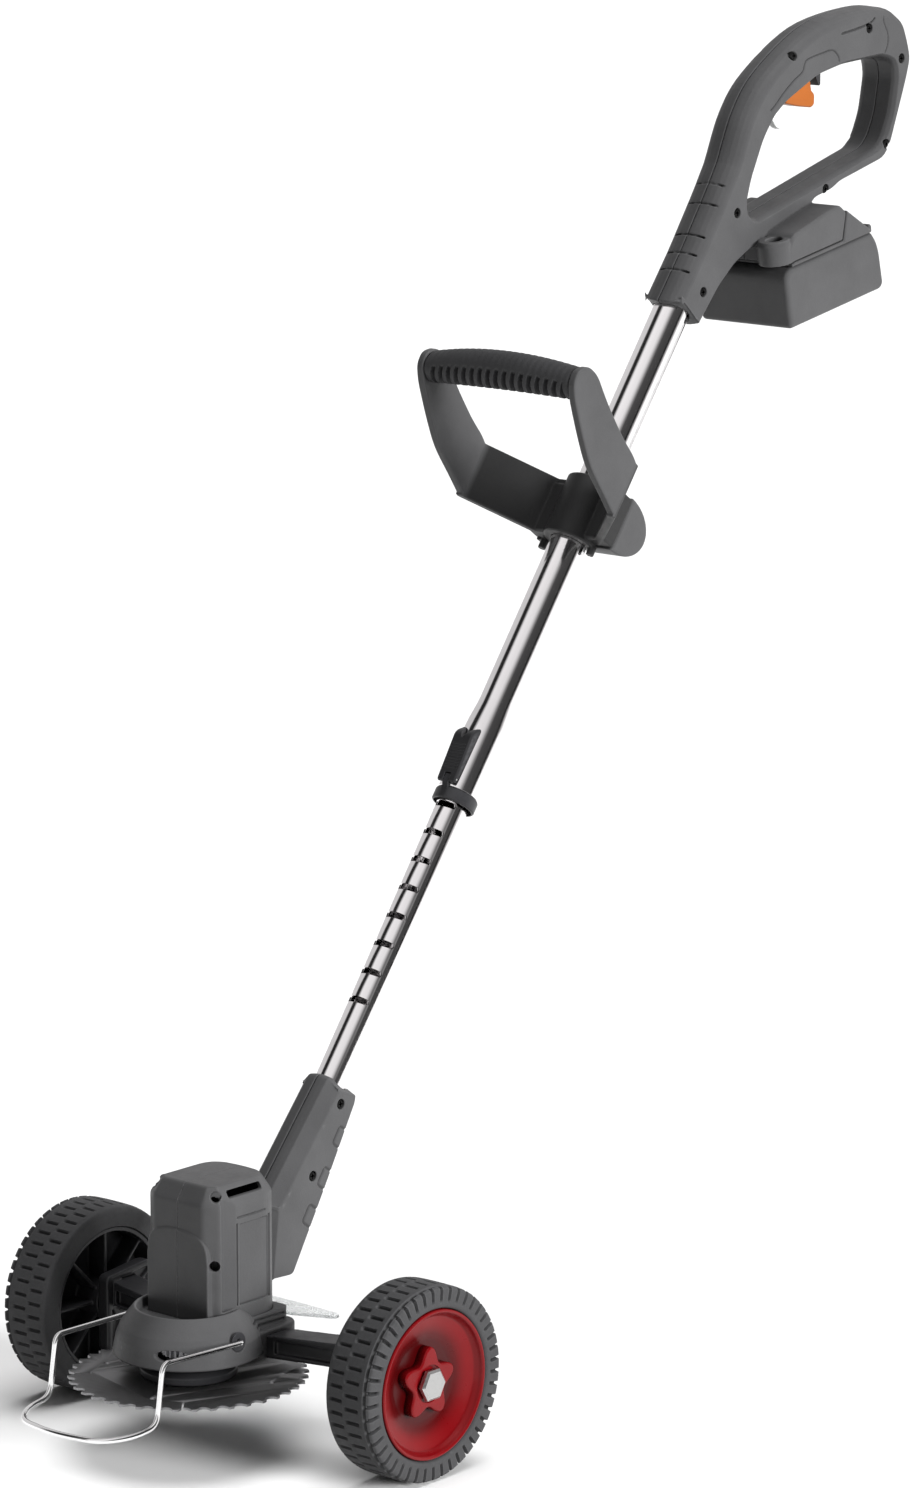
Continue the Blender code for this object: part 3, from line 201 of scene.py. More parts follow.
def smooth(points, steps, closed=False):
    """Catmull-Rom curve through a few corners, in two or three dimensions."""
    pts = [Vector(p) for p in points]
    count = len(pts)
    result = []
    for i in range(count if closed else count - 1):
        p1 = pts[i]
        p2 = pts[(i + 1) % count]
        p0 = pts[i - 1] if closed or i > 0 else p1 * 2 - p2
        p3 = pts[(i + 2) % count] if closed or i + 2 < count else p2 * 2 - p1
        for k in range(steps):
            t = k / steps
            b = p2 - p0
            c = p0 * 2 - p1 * 5 + p2 * 4 - p3
            d = p1 * 3 - p0 - p2 * 3 + p3
            result.append(tuple((p1 * 2 + b * t + c * t * t + d * t * t * t) / 2))
    if not closed:
        result.append(tuple(pts[-1]))
    return result


def corners(points, radius, steps=4, closed=True):
    """Outline or path with its corners rounded. radius is one number or one per corner."""
    pts = [Vector(p) for p in points]
    count = len(pts)
    radii = radius if isinstance(radius, (list, tuple)) else [radius] * count
    result = []
    for i, p in enumerate(pts):
        if radii[i] == 0 or (not closed and i in (0, count - 1)):
            result.append(tuple(p))
            continue
        before = pts[i - 1] - p
        after = pts[(i + 1) % count] - p
        reach = min(radii[i], before.length * 0.48, after.length * 0.48)
        a = p + before.normalized() * reach
        b = p + after.normalized() * reach
        for k in range(steps + 1):
            t = k / steps
            result.append(tuple(a.lerp(p, t).lerp(p.lerp(b, t), t)))
    return result


def both_sides(half):
    return half + [(-x, n) for x, n in reversed(half)]


def box_yz(y0, z0, y1, z1):
    return [(y0, z0), (y1, z0), (y1, z1), (y0, z1)]


# ---------------------------------------------------------------- making

TOOLS = []


def new_object(name, mesh):
    made = bpy.data.objects.new(name, mesh)
    bpy.context.scene.collection.objects.link(made)
    return made


def to_object(name, bm, angle=35):
    bmesh.ops.remove_doubles(bm, verts=bm.verts, dist=0.000001)
    bmesh.ops.recalc_face_normals(bm, faces=bm.faces)
    mesh = bpy.data.meshes.new(name)
    bm.to_mesh(mesh)
    bm.free()
    mesh.shade_smooth()
    mesh.set_sharp_from_angle(angle=math.radians(angle))
    return new_object(name, mesh)


def loft_into(bm, rings, closed=False):
    """Skin between outlines that have the same number of corners."""
    rows = [[bm.verts.new(Vector(p) * MM) for p in ring] for ring in rings]
    count = len(rows[0])
    for i in range(len(rows) if closed else len(rows) - 1):
        a = rows[i]
        b = rows[(i + 1) % len(rows)]
        for k in range(count):
            m = (k + 1) % count
            bm.faces.new((a[k], a[m], b[m], b[k]))
    if not closed:
        bm.faces.new(list(reversed(rows[0])))
        bm.faces.new(rows[-1])


def loft(name, rings, closed=False, angle=35):
    bm = bmesh.new()
    loft_into(bm, rings, closed)
    return to_object(name, bm, angle)


def slab(name, points, start, end, lift=at_x, edge=0.0, steps=4, ends=(True, True)):
    """Outline carried from start to end, with its end edges rounded."""
    rings = []
    way = math.copysign(1.0, end - start)
    for last, (place_at, side) in enumerate(((start, way), (end, -way))):
        if not edge or not ends[last]:
            rings.append(lift(points, place_at))
            continue
        for k in range(steps + 1):
            turn = (steps - k if last else k) / steps * math.pi / 2
            depth = edge * (1 - math.sin(turn))
            rings.append(lift(inset(points, depth), place_at + side * edge * (1 - math.cos(turn))))
    return loft(name, rings)


def frame_for(axis):
    axis = Vector(axis).normalized()
    helper = Vector((0, 0, 1)) if abs(axis.z) < 0.9 else Vector((0, 1, 0))
    side = axis.cross(helper).normalized()
    return axis, side, side.cross(axis).normalized()


def turned_into(bm, profile, centre, axis, segments, hollow):
    axis, side, up = frame_for(axis)
    centre = Vector(centre)
    rings = []
    for along, radius in profile:
        ring = []
        for k in range(segments):
            c, s = polar(1.0, 2 * math.pi * k / segments)
            ring.append(centre + axis * along + (side * c + up * s) * radius)
        rings.append(ring)
    loft_into(bm, rings, hollow)


def turned(name, profile, centre, axis, segments=64, hollow=False, soft=0.0, angle=35):
    """Turn (along, radius) pairs about an axis. A hollow profile is a closed loop."""
    if soft:
        profile = corners(profile, soft, 3, hollow)
    bm = bmesh.new()
    turned_into(bm, profile, centre, axis, segments, hollow)
    return to_object(name, bm, angle)


def bars(name, items, segments=32):
    """Separate straight round bars: (start, end, radius) each."""
    bm = bmesh.new()
    for start, end, radius in items:
        start = Vector(start)
        axis = Vector(end) - start
        turned_into(bm, [(0, radius), (axis.length, radius)], start, axis, segments, False)
    return to_object(name, bm)


def pole_bar(name, low, high, radius, segments=32):
    """Round bar along the pole axis."""
    return bars(name, [(on_pole(low, 0), on_pole(high, 0), radius)], segments)


def cross_bar(name, centre, radius, segments=32):
    """Round bar that lies along X through centre."""
    reach = Vector((30, 0, 0))
    return bars(name, [(centre - reach, centre + reach, radius)], segments)


def blocks(name, items):
    """Separate boxes: (lowest corner, highest corner) each."""
    bm = bmesh.new()
    for low, high in items:
        ring = box_yz(low[0], low[1], high[0], high[1])
        loft_into(bm, [at_z(ring, low[2]), at_z(ring, high[2])])
    return to_object(name, bm)


def pipe(name, path, radius, segments=16, closed=False):
    """Round bar bent along a path."""
    pts = [Vector(p) for p in path]
    count = len(pts)
    tangent = (pts[1] - pts[-1] if closed else pts[1] - pts[0]).normalized()
    side, up = frame_for(tangent)[1:]
    rings = []
    for i, p in enumerate(pts):
        before = pts[i - 1] if closed or i > 0 else p
        after = pts[(i + 1) % count] if closed or i + 1 < count else p
        direction = (after - before).normalized()
        turn = tangent.rotation_difference(direction)
        side = turn @ side
        up = turn @ up
        tangent = direction
        ring = []
        for k in range(segments):
            c, s = polar(radius, 2 * math.pi * k / segments)
            ring.append(p + side * c + up * s)
        rings.append(ring)
    bm = bmesh.new()
    loft_into(bm, rings, closed)
    return to_object(name, bm, 60)


def join(target, tool, operation):
    modifier = target.modifiers.new(operation.lower(), "BOOLEAN")
    modifier.operation = operation
    modifier.solver = "MANIFOLD"
    modifier.object = tool
    tool.hide_render = True
    TOOLS.append(tool)


def cut(target, tool):
    join(target, tool, "DIFFERENCE")


def add(target, tool):
    join(target, tool, "UNION")


def evaluated(target):
    bpy.context.view_layer.update()
    shape = target.evaluated_get(bpy.context.evaluated_depsgraph_get())
    return bpy.data.meshes.new_from_object(shape)


def settle(target):
    """Replace an object's mesh by its evaluated shape and drop the modifiers and tools."""
    mesh = evaluated(target)
    target.modifiers.clear()
    target.data = mesh
    used = [t for t in TOOLS if t is not target]
    TOOLS.clear()
    for tool in used:
        bpy.data.objects.remove(tool, do_unlink=True)
    return target


def settle_keep(target):
    """Settle a tool without dropping the tools of the piece that it will cut."""
    mesh = evaluated(target)
    used = [m.object for m in target.modifiers if m.type == "BOOLEAN"]
    target.modifiers.clear()
    target.data = mesh
    for tool in used:
        TOOLS.remove(tool)
        bpy.data.objects.remove(tool, do_unlink=True)


def soften(target, voxel=0.6, rounds=3, most=90000):
    """Round every edge as moulding does: an even fine mesh, smoothed and thinned on flats."""
    settle(target)
    remesh = target.modifiers.new("even", "REMESH")
    remesh.mode = "VOXEL"
    remesh.voxel_size = voxel * MM * 1.0
    relax = target.modifiers.new("relax", "SMOOTH")
    relax.factor = 0.5
    relax.iterations = rounds
    settle(target)
    faces = 2 * len(target.data.polygons)
    if faces > most:
        thin = target.modifiers.new("thin", "DECIMATE")
        thin.ratio = most / faces
        settle(target)
    target.data.shade_smooth()
    return target


def rounded(target, width, segments=3, angle=30):
    """Round the sharp edges of a clean mesh."""
    settle(target)
    bevel = target.modifiers.new("round", "BEVEL")
    bevel.width = width * MM
    bevel.segments = segments
    bevel.limit_method = "ANGLE"
    bevel.angle_limit = math.radians(angle)
    bevel.use_clamp_overlap = True
    settle(target)
    target.data.shade_smooth()
    target.data.set_sharp_from_angle(angle=math.radians(50))
    return target


def mirrored(source, name):
    mesh = evaluated(source)
    mesh.transform(Matrix.Scale(-1, 4, (1, 0, 0)))
    mesh.flip_normals()
    return new_object(name, mesh)


def place(target, node, paint, weighted=True):
    """Carry a finished piece into the frame, where it stands for its CAD node."""
    settle(target)
    target.name = node + "_look"
    target.data.name = target.name
    target.data.transform(Matrix.Translation(SHIFT))
    target.data.materials.clear()
    target.data.materials.append(paint)
    if weighted:
        normals = target.modifiers.new("normals", "WEIGHTED_NORMAL")
        normals.keep_sharp = True
    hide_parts(node)
    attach(target, BODY_OF[node])
    return target


def pair(source, stem, paint):
    """Place a right-hand piece and its left-hand twin."""
    settle(source)
    other = mirrored(source, stem + "_left_look")
    place(source, stem + "_right", paint)
    place(other, stem + "_left", paint)


# ---------------------------------------------------------------- materials

def start_material(name):
    made = bpy.data.materials.new(name)
    made.use_nodes = True
    tree = made.node_tree
    shader = tree.nodes["Principled BSDF"]
    coord = tree.nodes.new("ShaderNodeTexCoord").outputs["Object"]
    return made, tree, shader, coord


def noise(tree, coord, scale, detail=3.0, rough=0.55):
    made = tree.nodes.new("ShaderNodeTexNoise")
    made.inputs["Scale"].default_value = scale
    made.inputs["Detail"].default_value = detail
    made.inputs["Roughness"].default_value = rough
    tree.links.new(coord, made.inputs["Vector"])
    return made.outputs["Fac"]


def remap(tree, value, low, high, to_low, to_high):
    made = tree.nodes.new("ShaderNodeMapRange")
    made.inputs["From Min"].default_value = low
    made.inputs["From Max"].default_value = high
    made.inputs["To Min"].default_value = to_low
    made.inputs["To Max"].default_value = to_high
    tree.links.new(value, made.inputs["Value"])
    return made.outputs["Result"]


def blend(tree, factor, a, b):
    """Colour a where factor is 0 and b where it is 1. Each is a colour or a socket."""
    made = tree.nodes.new("ShaderNodeMix")
    made.data_type = "RGBA"
    sockets = [s for s in made.inputs if s.type == "RGBA"]
    for socket, value in zip(sockets, (a, b)):
        if isinstance(value, bpy.types.NodeSocket):
            tree.links.new(value, socket)
        else:
            socket.default_value = (value[0], value[1], value[2], 1.0)
    tree.links.new(factor, made.inputs["Factor"])
    return [s for s in made.outputs if s.type == "RGBA"][0]


def maths(tree, operation, a, b):
    made = tree.nodes.new("ShaderNodeMath")
    made.operation = operation
    for socket, value in zip(made.inputs, (a, b)):
        if isinstance(value, bpy.types.NodeSocket):
            tree.links.new(value, socket)
        else:
            socket.default_value = value
    return made.outputs[0]


def bump(tree, height, distance, strength, under=None):
    made = tree.nodes.new("ShaderNodeBump")
    made.inputs["Distance"].default_value = distance
    made.inputs["Strength"].default_value = strength
    tree.links.new(height, made.inputs["Height"])
    if under is not None:
        tree.links.new(under, made.inputs["Normal"])
    return made.outputs["Normal"]


def edge_mask(tree, low, high):
    """1 on convex edges and 0 on flats and in hollows."""
    geometry = tree.nodes.new("ShaderNodeNewGeometry")
    return remap(tree, geometry.outputs["Pointiness"], low, high, 0.0, 1.0)


def crease_shade_mask(tree, low, high):
    """1 in tight hollows and 0 elsewhere, where shade is painted."""
    geometry = tree.nodes.new("ShaderNodeNewGeometry")
    return remap(tree, geometry.outputs["Pointiness"], low, high, 1.0, 0.0)


def dim(colour, by):
    return tuple(c * by for c in colour)


def moulded(name, colour, rough, grain=1100.0, depth=0.00009, worn=1.5, pebble=0.35, dust=0.10, shine=0.3):
    """Moulded plastic or rubber: spark-eroded grain, faint cloudiness, rubbed edges and painted shade in
    tight creases.
    """
    made, tree, shader, coord = start_material(name)
    cloud = noise(tree, coord, 26.0, 4.0)
    fine = noise(tree, coord, grain, 3.0)
    coarse = noise(tree, coord, grain * 0.32, 2.0)
    scuff = noise(tree, coord, 95.0, 6.0, 0.7)
    base = blend(tree, remap(tree, cloud, 0.32, 0.68, 0.0, 1.0), dim(colour, 0.9), dim(colour, 1.1))
    base = blend(tree, remap(tree, fine, 0.3, 0.75, 0.0, dust), base, dim(colour, 1.9))
    rub = maths(tree, "MULTIPLY", edge_mask(tree, 0.512, 0.56), remap(tree, scuff, 0.35, 0.65, 0.25, 1.0))
    base = blend(tree, rub, base, dim(colour, worn))
    # painted shade: tight hollows and creases are darkened to a fraction of the colour
    base = blend(tree, crease_shade_mask(tree, 0.44, 0.492), base, dim(colour, 0.22))
    tree.links.new(base, shader.inputs["Base Color"])
    shader.inputs["Specular IOR Level"].default_value = shine
    spread = remap(tree, scuff, 0.3, 0.7, rough - 0.06, rough + 0.07)
    polish = maths(tree, "MULTIPLY", rub, 0.1)
    tree.links.new(maths(tree, "SUBTRACT", spread, polish), shader.inputs["Roughness"])
    skin = bump(tree, coarse, depth * 2.0, pebble)
    tree.links.new(bump(tree, fine, depth, 0.6, skin), shader.inputs["Normal"])
    return made


def along_pole(tree, coord, stretch, scale):
    """Coordinates stretched along the pole, for drawn and polished tube."""
    turn = tree.nodes.new("ShaderNodeMapping")
    turn.vector_type = "POINT"
    turn.inputs["Rotation"].default_value = (LEAN - math.pi / 2, 0.0, 0.0)
    turn.inputs["Scale"].default_value = (scale, scale, scale / stretch)
    tree.links.new(coord, turn.inputs["Vector"])
    return turn.outputs["Vector"]


def metal(name, colour, rough, grain=700.0, stretch=1.0, depth=0.00002, cloudy=0.12, rings=False):
    """Polished, ground or plated steel with fine tool marks and uneven gloss."""
    made, tree, shader, coord = start_material(name)
    shader.inputs["Metallic"].default_value = 1.0
    where = along_pole(tree, coord, stretch, 1.0) if stretch > 1.0 else coord
    marks = noise(tree, where, grain, 3.0)
    smear = noise(tree, where, 38.0, 5.0, 0.6)
    if rings:
        wave = tree.nodes.new("ShaderNodeTexWave")
        wave.wave_type = "RINGS"
        wave.rings_direction = "Z"
        wave.inputs["Scale"].default_value = 260.0
        wave.inputs["Distortion"].default_value = 1.2
        wave.inputs["Detail"].default_value = 3.0
        shift = tree.nodes.new("ShaderNodeMapping")
        shift.inputs["Location"].default_value = (0.0, -SHIFT.y, 0.0)
        tree.links.new(coord, shift.inputs["Vector"])
        tree.links.new(shift.outputs["Vector"], wave.inputs["Vector"])
        turning = maths(tree, "MULTIPLY", wave.outputs["Fac"], 0.6)
        marks = maths(tree, "ADD", turning, maths(tree, "MULTIPLY", marks, 0.4))
    tone = remap(tree, smear, 0.3, 0.7, 0.0, 1.0)
    base = blend(tree, tone, dim(colour, 1.0 - cloudy), dim(colour, min(1.0 + cloudy, 1.0 / max(colour))))
    rub = edge_mask(tree, 0.515, 0.57)
    base = blend(tree, rub, base, dim(colour, min(1.25, 1.0 / max(colour))))
    tree.links.new(base, shader.inputs["Base Color"])
    gloss = remap(tree, marks, 0.25, 0.75, max(rough - 0.05, 0.02), rough + 0.07)
    tree.links.new(gloss, shader.inputs["Roughness"])
    tree.links.new(bump(tree, marks, depth, 0.35), shader.inputs["Normal"])
    return made


def clear_plastic(name, colour, rough):
    made, tree, shader, coord = start_material(name)
    shader.inputs["Transmission Weight"].default_value = 0.85
    shader.inputs["IOR"].default_value = 1.25
    cloud = noise(tree, coord, 60.0, 4.0)
    fine = noise(tree, coord, 900.0, 2.0)
    tree.links.new(blend(tree, cloud, dim(colour, 0.94), colour), shader.inputs["Base Color"])
    tree.links.new(remap(tree, cloud, 0.3, 0.7, rough - 0.08, rough + 0.08), shader.inputs["Roughness"])
    tree.links.new(bump(tree, fine, 0.00004, 0.3), shader.inputs["Normal"])
    return made


def split_place(made):
    """A material's node tree, and the X, Y and Z of the place that it colours."""
    tree = made.node_tree
    parts = tree.nodes.new("ShaderNodeSeparateXYZ")
    coord = tree.nodes.new("ShaderNodeTexCoord").outputs["Object"]
    tree.links.new(coord, parts.inputs["Vector"])
    return tree, parts.outputs


def shade_over(made, share, colour):
    """Blend a further colour over a material's own, by the given share; here it paints shade."""
    tree = made.node_tree
    base = tree.nodes["Principled BSDF"].inputs["Base Color"]
    tree.links.new(blend(tree, share, base.links[0].from_socket, colour), base)


def paint_bridge_shade(made):
    """Painted shade: a darker front on the bridge between the arms of the front handle."""
    tree, parts = split_place(made)
    start = on_pole(0, 0) * MM + SHIFT
    axis = (on_pole(0, 1) - on_pole(0, 0)).normalized()
    across = maths(tree, "MULTIPLY", maths(tree, "SUBTRACT", parts["Y"], start.y), axis.y)
    up = maths(tree, "MULTIPLY", maths(tree, "SUBTRACT", parts["Z"], start.z), axis.z)
    height = maths(tree, "ADD", across, up)
    low = remap(tree, height, 0.0435, 0.0465, 1.0, 0.0)
    # painted shade over the low front of the bridge
    shade_over(made, maths(tree, "MULTIPLY", low, 0.8), (0.005, 0.005, 0.005))


def paint_hub_shade(made):
    """Painted shade that darkens each rim towards its hub."""
    tree, parts = split_place(made)
    across = maths(tree, "SUBTRACT", parts["Y"], WHEEL_Y * MM + SHIFT.y)
    up = maths(tree, "SUBTRACT", parts["Z"], WHEEL_R * MM)
    square = maths(tree, "ADD", maths(tree, "MULTIPLY", across, across), maths(tree, "MULTIPLY", up, up))
    radius = maths(tree, "SQRT", square, 0.0)
    depth = maths(tree, "ABSOLUTE", parts["X"], 0.0)
    inside = remap(tree, radius, 0.026, 0.044, 1.0, 0.0)
    low = remap(tree, depth, 0.1485, 0.1515, 1.0, 0.0)
    shade = maths(tree, "MULTIPLY", maths(tree, "MULTIPLY", inside, low), 0.75)
    # painted shade in the rim's dish, darker towards the hub
    shade_over(made, shade, (0.006, 0.0004, 0.0004))


CHARCOAL = moulded("charcoal_moulded", (0.039, 0.039, 0.040), 0.46)
BLACK = moulded("black_moulded", (0.012, 0.012, 0.013), 0.38, 1300.0, 0.00006, 2.2)
# charcoal with painted shade on the front handle's bridge
SHADED = moulded("charcoal_shaded", (0.039, 0.039, 0.040), 0.46)
paint_bridge_shade(SHADED)
GRIP = moulded("grip_moulded", (0.021, 0.021, 0.022), 0.62, 800.0, 0.00014, 1.4, 0.5)
TREAD = moulded("tyre_moulded", (0.027, 0.027, 0.028), 0.66, 700.0, 0.00014, 1.7, 0.45, 0.25)
RED = moulded("red_moulded", (0.088, 0.0012, 0.0022), 0.32, 1500.0, 0.00003, 1.15, 0.15, 0.01, 0.22)
ORANGE = moulded("orange_moulded", (0.200, 0.050, 0.0010), 0.36, 1400.0, 0.00004, 1.08, 0.2, 0.04, 0.4)
NYLON = moulded("nylon_moulded", (0.50, 0.51, 0.50), 0.38, 1300.0, 0.00005, 1.05, 0.2, 0.05, 0.5)
WRAP = moulded("cell_wrap_film", (0.05, 0.22, 0.35), 0.35, 600.0, 0.00005, 1.3, 0.2)
FROSTED = clear_plastic("frosted_sheet", (0.93, 0.95, 0.95), 0.28)
CHROME = metal("polished_tube", (0.90, 0.885, 0.89), 0.09, 1500.0, 40.0, 0.000006, 0.03)
CHROME_WIRE = metal("plated_wire", (0.93, 0.93, 0.93), 0.14, 1200.0, 1.0, 0.00001, 0.05)
BLADE_STEEL = metal("ground_blade", (0.25, 0.25, 0.255), 0.50, 500.0, 1.0, 0.00002, 0.22, True)
ZINC = metal("zinc_plated", (0.46, 0.46, 0.455), 0.38, 600.0, 1.0, 0.00003, 0.18)
MOTOR_STEEL = metal("motor_can_steel", (0.48, 0.48, 0.49), 0.38, 600.0, 1.0, 0.00003, 0.15)
SCREW_STEEL = metal("blackened_screw", (0.022, 0.022, 0.022), 0.38, 600.0, 1.0, 0.00003, 0.2)
GEAR_STEEL = metal("gear_cut_steel", (0.33, 0.33, 0.34), 0.40, 500.0, 1.0, 0.00003, 0.2)
BEARING = metal("bearing_ring_steel", (0.66, 0.66, 0.67), 0.25, 900.0, 1.0, 0.00002, 0.08)
paint_hub_shade(RED)
red_coat = RED.node_tree.nodes["Principled BSDF"].inputs
red_coat["Coat Weight"].default_value = 0.06
red_coat["Coat Roughness"].default_value = 0.15


# ---------------------------------------------------------------- rear handle

def limb_outline():
    """Side outline of the limb. The third number is how far its edge rolls in at the side face."""
    front = [pole_yz(838.0, 17.0) + (7.5,), pole_yz(880, 16.2) + (7.5,), pole_yz(925, 17.6) + (7.5,)]
    top = smooth([(521.5, 772), (538, 806), (562, 831), (611, 857.6), (666, 866.8), (697, 864.5)], 6)
    top = [p + (7.5,) for p in top]
    rear = [(709, 856, 5.5), (714.5, 841, 4.5), (717.6, 829, 4.0), (712, 814, 3.0)]
    rear += [(694.5, 771, 2.5), (687, 761.5, 2.5)]
    bar = [(637, 749), pack_yz(88, 71.0), pack_yz(66.4, 70.0), pack_yz(58, 58), pack_yz(10, 52)]
    heel = [pole_yz(909, -32), pole_yz(891, -23), pole_yz(870, -17.5), pole_yz(838.0, -14.5)]
    low = [p + (2.5,) for p in bar + heel]
    radii = [1.0, 6.0, 6.0] + [0] * (len(top) - 1) + [5.0] + [6.0] * 6 + [5.0] * 8 + [1.0]
    return corners(front + top + rear + low, radii, 3)


def grip_opening():
    front = [(536.5, 744), (541, 759), (554, 785), (565, 799), (578, 808), (613.5, 824)]
    top = [(641, 829.5), (684, 832.5), (697, 828), (699.5, 818)]
    rear = [(694.7, 793), (687, 777), (679, 769.5)]
    outline = front + top + rear + [(666, 766), (579, 741.5), (546, 732), (538.5, 736)]
    return corners(outline, 6.0, 4)


def handle_screw_points():
    low = [pole_yz(858.5, -4.0), pole_yz(919.6, -3.3)]
    return low + [(584.5, 839.5), (667.5, 852.5), (704.3, 829.5), (688.7, 771.8), (620.8, 746.6)]


def screw_holes(name, points, face, reach=4.0):
    bm = bmesh.new()
    for y, z in points:
        floor = face - SCREW_SINK
        profile = [(-2.0, 1.8), (floor, 1.8), (floor, 3.4), (face - 0.6, 3.4)]
        profile.append((face + reach, 4.0 + reach * 0.1))
        turned_into(bm, profile, (0, y, z), (1, 0, 0), 28, False)
    return to_object(name, bm)


def side_screw(name, y, z, face):
    """Pan-head screw with a cross recess, its head sunk below the shell face."""
    head = face - SCREW_SINK + GAP
    profile = [(-9.0, 0.6), (-8.0, 1.5), (head, 1.5), (head, 3.0), (head + 1.2, 3.0), (head + 2.1, 2.4)]
    profile += [(head + 2.4, 1.2)]
    screw = turned(name, profile, (0, y, z), (1, 0, 0), 32)
    for along, across in ((1.9, 0.45), (0.45, 1.9)):
        low = (head + 1.0, y - along, z - across)
        cut(screw, blocks(name + "_recess", [(low, (head + 5.0, y + along, z + across))]))
    place(screw, name, SCREW_STEEL)


def groove(name, points, x, radius=0.85, drop=0.15):
    """Fine line let into the side face along the given YZ points."""
    path = [(x - drop, p[0], p[1]) for p in smooth(points, 4)]
    return pipe(name, path, radius, 8)


def foot_outline():
    low = [pack_yz(5, PACK_HEIGHT + GAP), pack_yz(7, 56), pack_yz(13.4, 62.6)]
    top = [pack_yz(53, 68.6), pack_yz(65.6, 69.2), pack_yz(72.0, 62.6)]
    return corners(low + top + [pack_yz(65.0, PACK_HEIGHT + GAP)], [0.8, 3, 5, 6, 3, 2, 0.8], 4)


def boss_point(c):
    y, z = pack_yz(6.0, c)
    return Vector((27.0, y, z))


def rail_cutter():
    c0, c1, c2 = PACK_HEIGHT - 3.0, PACK_HEIGHT + 3.0, PACK_HEIGHT + 10.0
    stem = [pack_yz(10, c0), pack_yz(10, c1 + 1.0), pack_yz(80, c1 + 1.0), pack_yz(80, c0)]
    head = [pack_yz(10, c1), pack_yz(10, c2), pack_yz(80, c2), pack_yz(80, c1)]
    return slab("rail_stem_space", stem, -1.0, 24.0), slab("rail_head_space", head, -2.0, 30.0)


# distance from the middle plane, and how much of the edge's roll is reached there
LIMB_SECTION = (
    (0.15, 0.1), (0.6, 0.0), (4, 0.05), (8, 0.16), (11.5, 0.34), (14.2, 0.58), (15.5, 0.80), (LIMB_HALF, 1.0),
)


def rear_handle():
    outline = limb_outline()
    rings = []
    for x, share in LIMB_SECTION:
        rings.append(at_x(inset(outline, [p[2] * share for p in outline]), x))
    shell = loft("handle_shell", rings)
    add(shell, slab("foot_block", foot_outline(), 0.15, FOOT_HALF, edge=2.0, ends=(False, True)))
    boss = [(0.0, 12.0), (13.4, 12.0), (14.8, 11.2), (16.2, 10.6)]
    axis = boss_point(60.0) - boss_point(40.0)
    add(shell, turned("foot_boss", boss, boss_point(PACK_HEIGHT + GAP), axis, 48))
    opening = grip_opening()
    rings = [at_x(opening, -1.0), at_x(opening, 11.0), at_x(inset(opening, -0.8), 13.5)]
    rings += [at_x(inset(opening, -2.5), LIMB_HALF + 0.01), at_x(inset(opening, -2.7), LIMB_HALF + 2.0)]
    cut(shell, loft("grip_space", rings))
    inner = [pack_yz(20, 53.5), pack_yz(20, 60.5), pack_yz(51, 65.6), pack_yz(63.5, 66.0)]
    cut(shell, slab("foot_space", inner + [pack_yz(67.5, 62.0), pack_yz(64.0, 53.5)], -1.0, FOOT_HALF - WALL))
    for tool in rail_cutter():
        cut(shell, tool)
    cut(shell, pole_bar("tube_space", 820, 901, UPPER_R + GAP, 48))
    slot = [(582, 802), (582, 829), (600, 837), (637, 840), (637, 815), (612, 806)]
    cut(shell, slab("trigger_space", slot, -1.0, 8.6))
    slot = [(566, 790), (563, 808), (573, 817), (584, 812), (584, 795)]
    cut(shell, slab("tab_space", slot, -1.0, 3.4))
    cut(shell, screw_holes("handle_screw_spaces", handle_screw_points(), LIMB_HALF))
    cut(shell, bars("boss_space", [(boss_point(55.0), boss_point(70.0), 5.8)]))
    for s, reach in ((929, 17.2), (914, 16.2), (890, 15.3), (876, 15.3), (863, 15.6)):
        step = [(-1.0, reach), (5.5, reach - 0.5), (11.5, reach - 4.5), (15.0, reach + 2.0)]
        step.append((-1.0, reach + 5.0))
        cut(shell, slab("front_step", step, s - 0.7, s + 0.8, at_s))
    inlay = [(634.2, 831.8), (633.0, 836.0), (626.3, 840.5), (615.3, 839.2), (602.1, 836.8), (596.7, 834.5)]
    inlay += [(593.5, 828.0), (584.9, 823.2), (574.1, 815.9), (564.5, 807.9), (559.1, 804.3)]
    cut(shell, groove("inlay_line", inlay, LIMB_HALF))
    trim = [(636.1, 850.7), (652.7, 853.0), (668.0, 856.0), (673.8, 859.4)]
    cut(shell, groove("trim_line", trim, LIMB_HALF - 0.4))
    seam = [(681.0, 869.0), (682.8, 861.2), (683.5, 855.8), (687.7, 848.6), (688.5, 841.7), (685.0, 834.0)]
    cut(shell, groove("seam_line", seam, LIMB_HALF, 0.75))
    soften(shell, 0.55, 2, 130000)
    pair(shell, "handle_shell", CHARCOAL)
    for i, (y, z) in enumerate(handle_screw_points()):
        side_screw("handle_screw_%d" % (i + 1), y, z, LIMB_HALF)


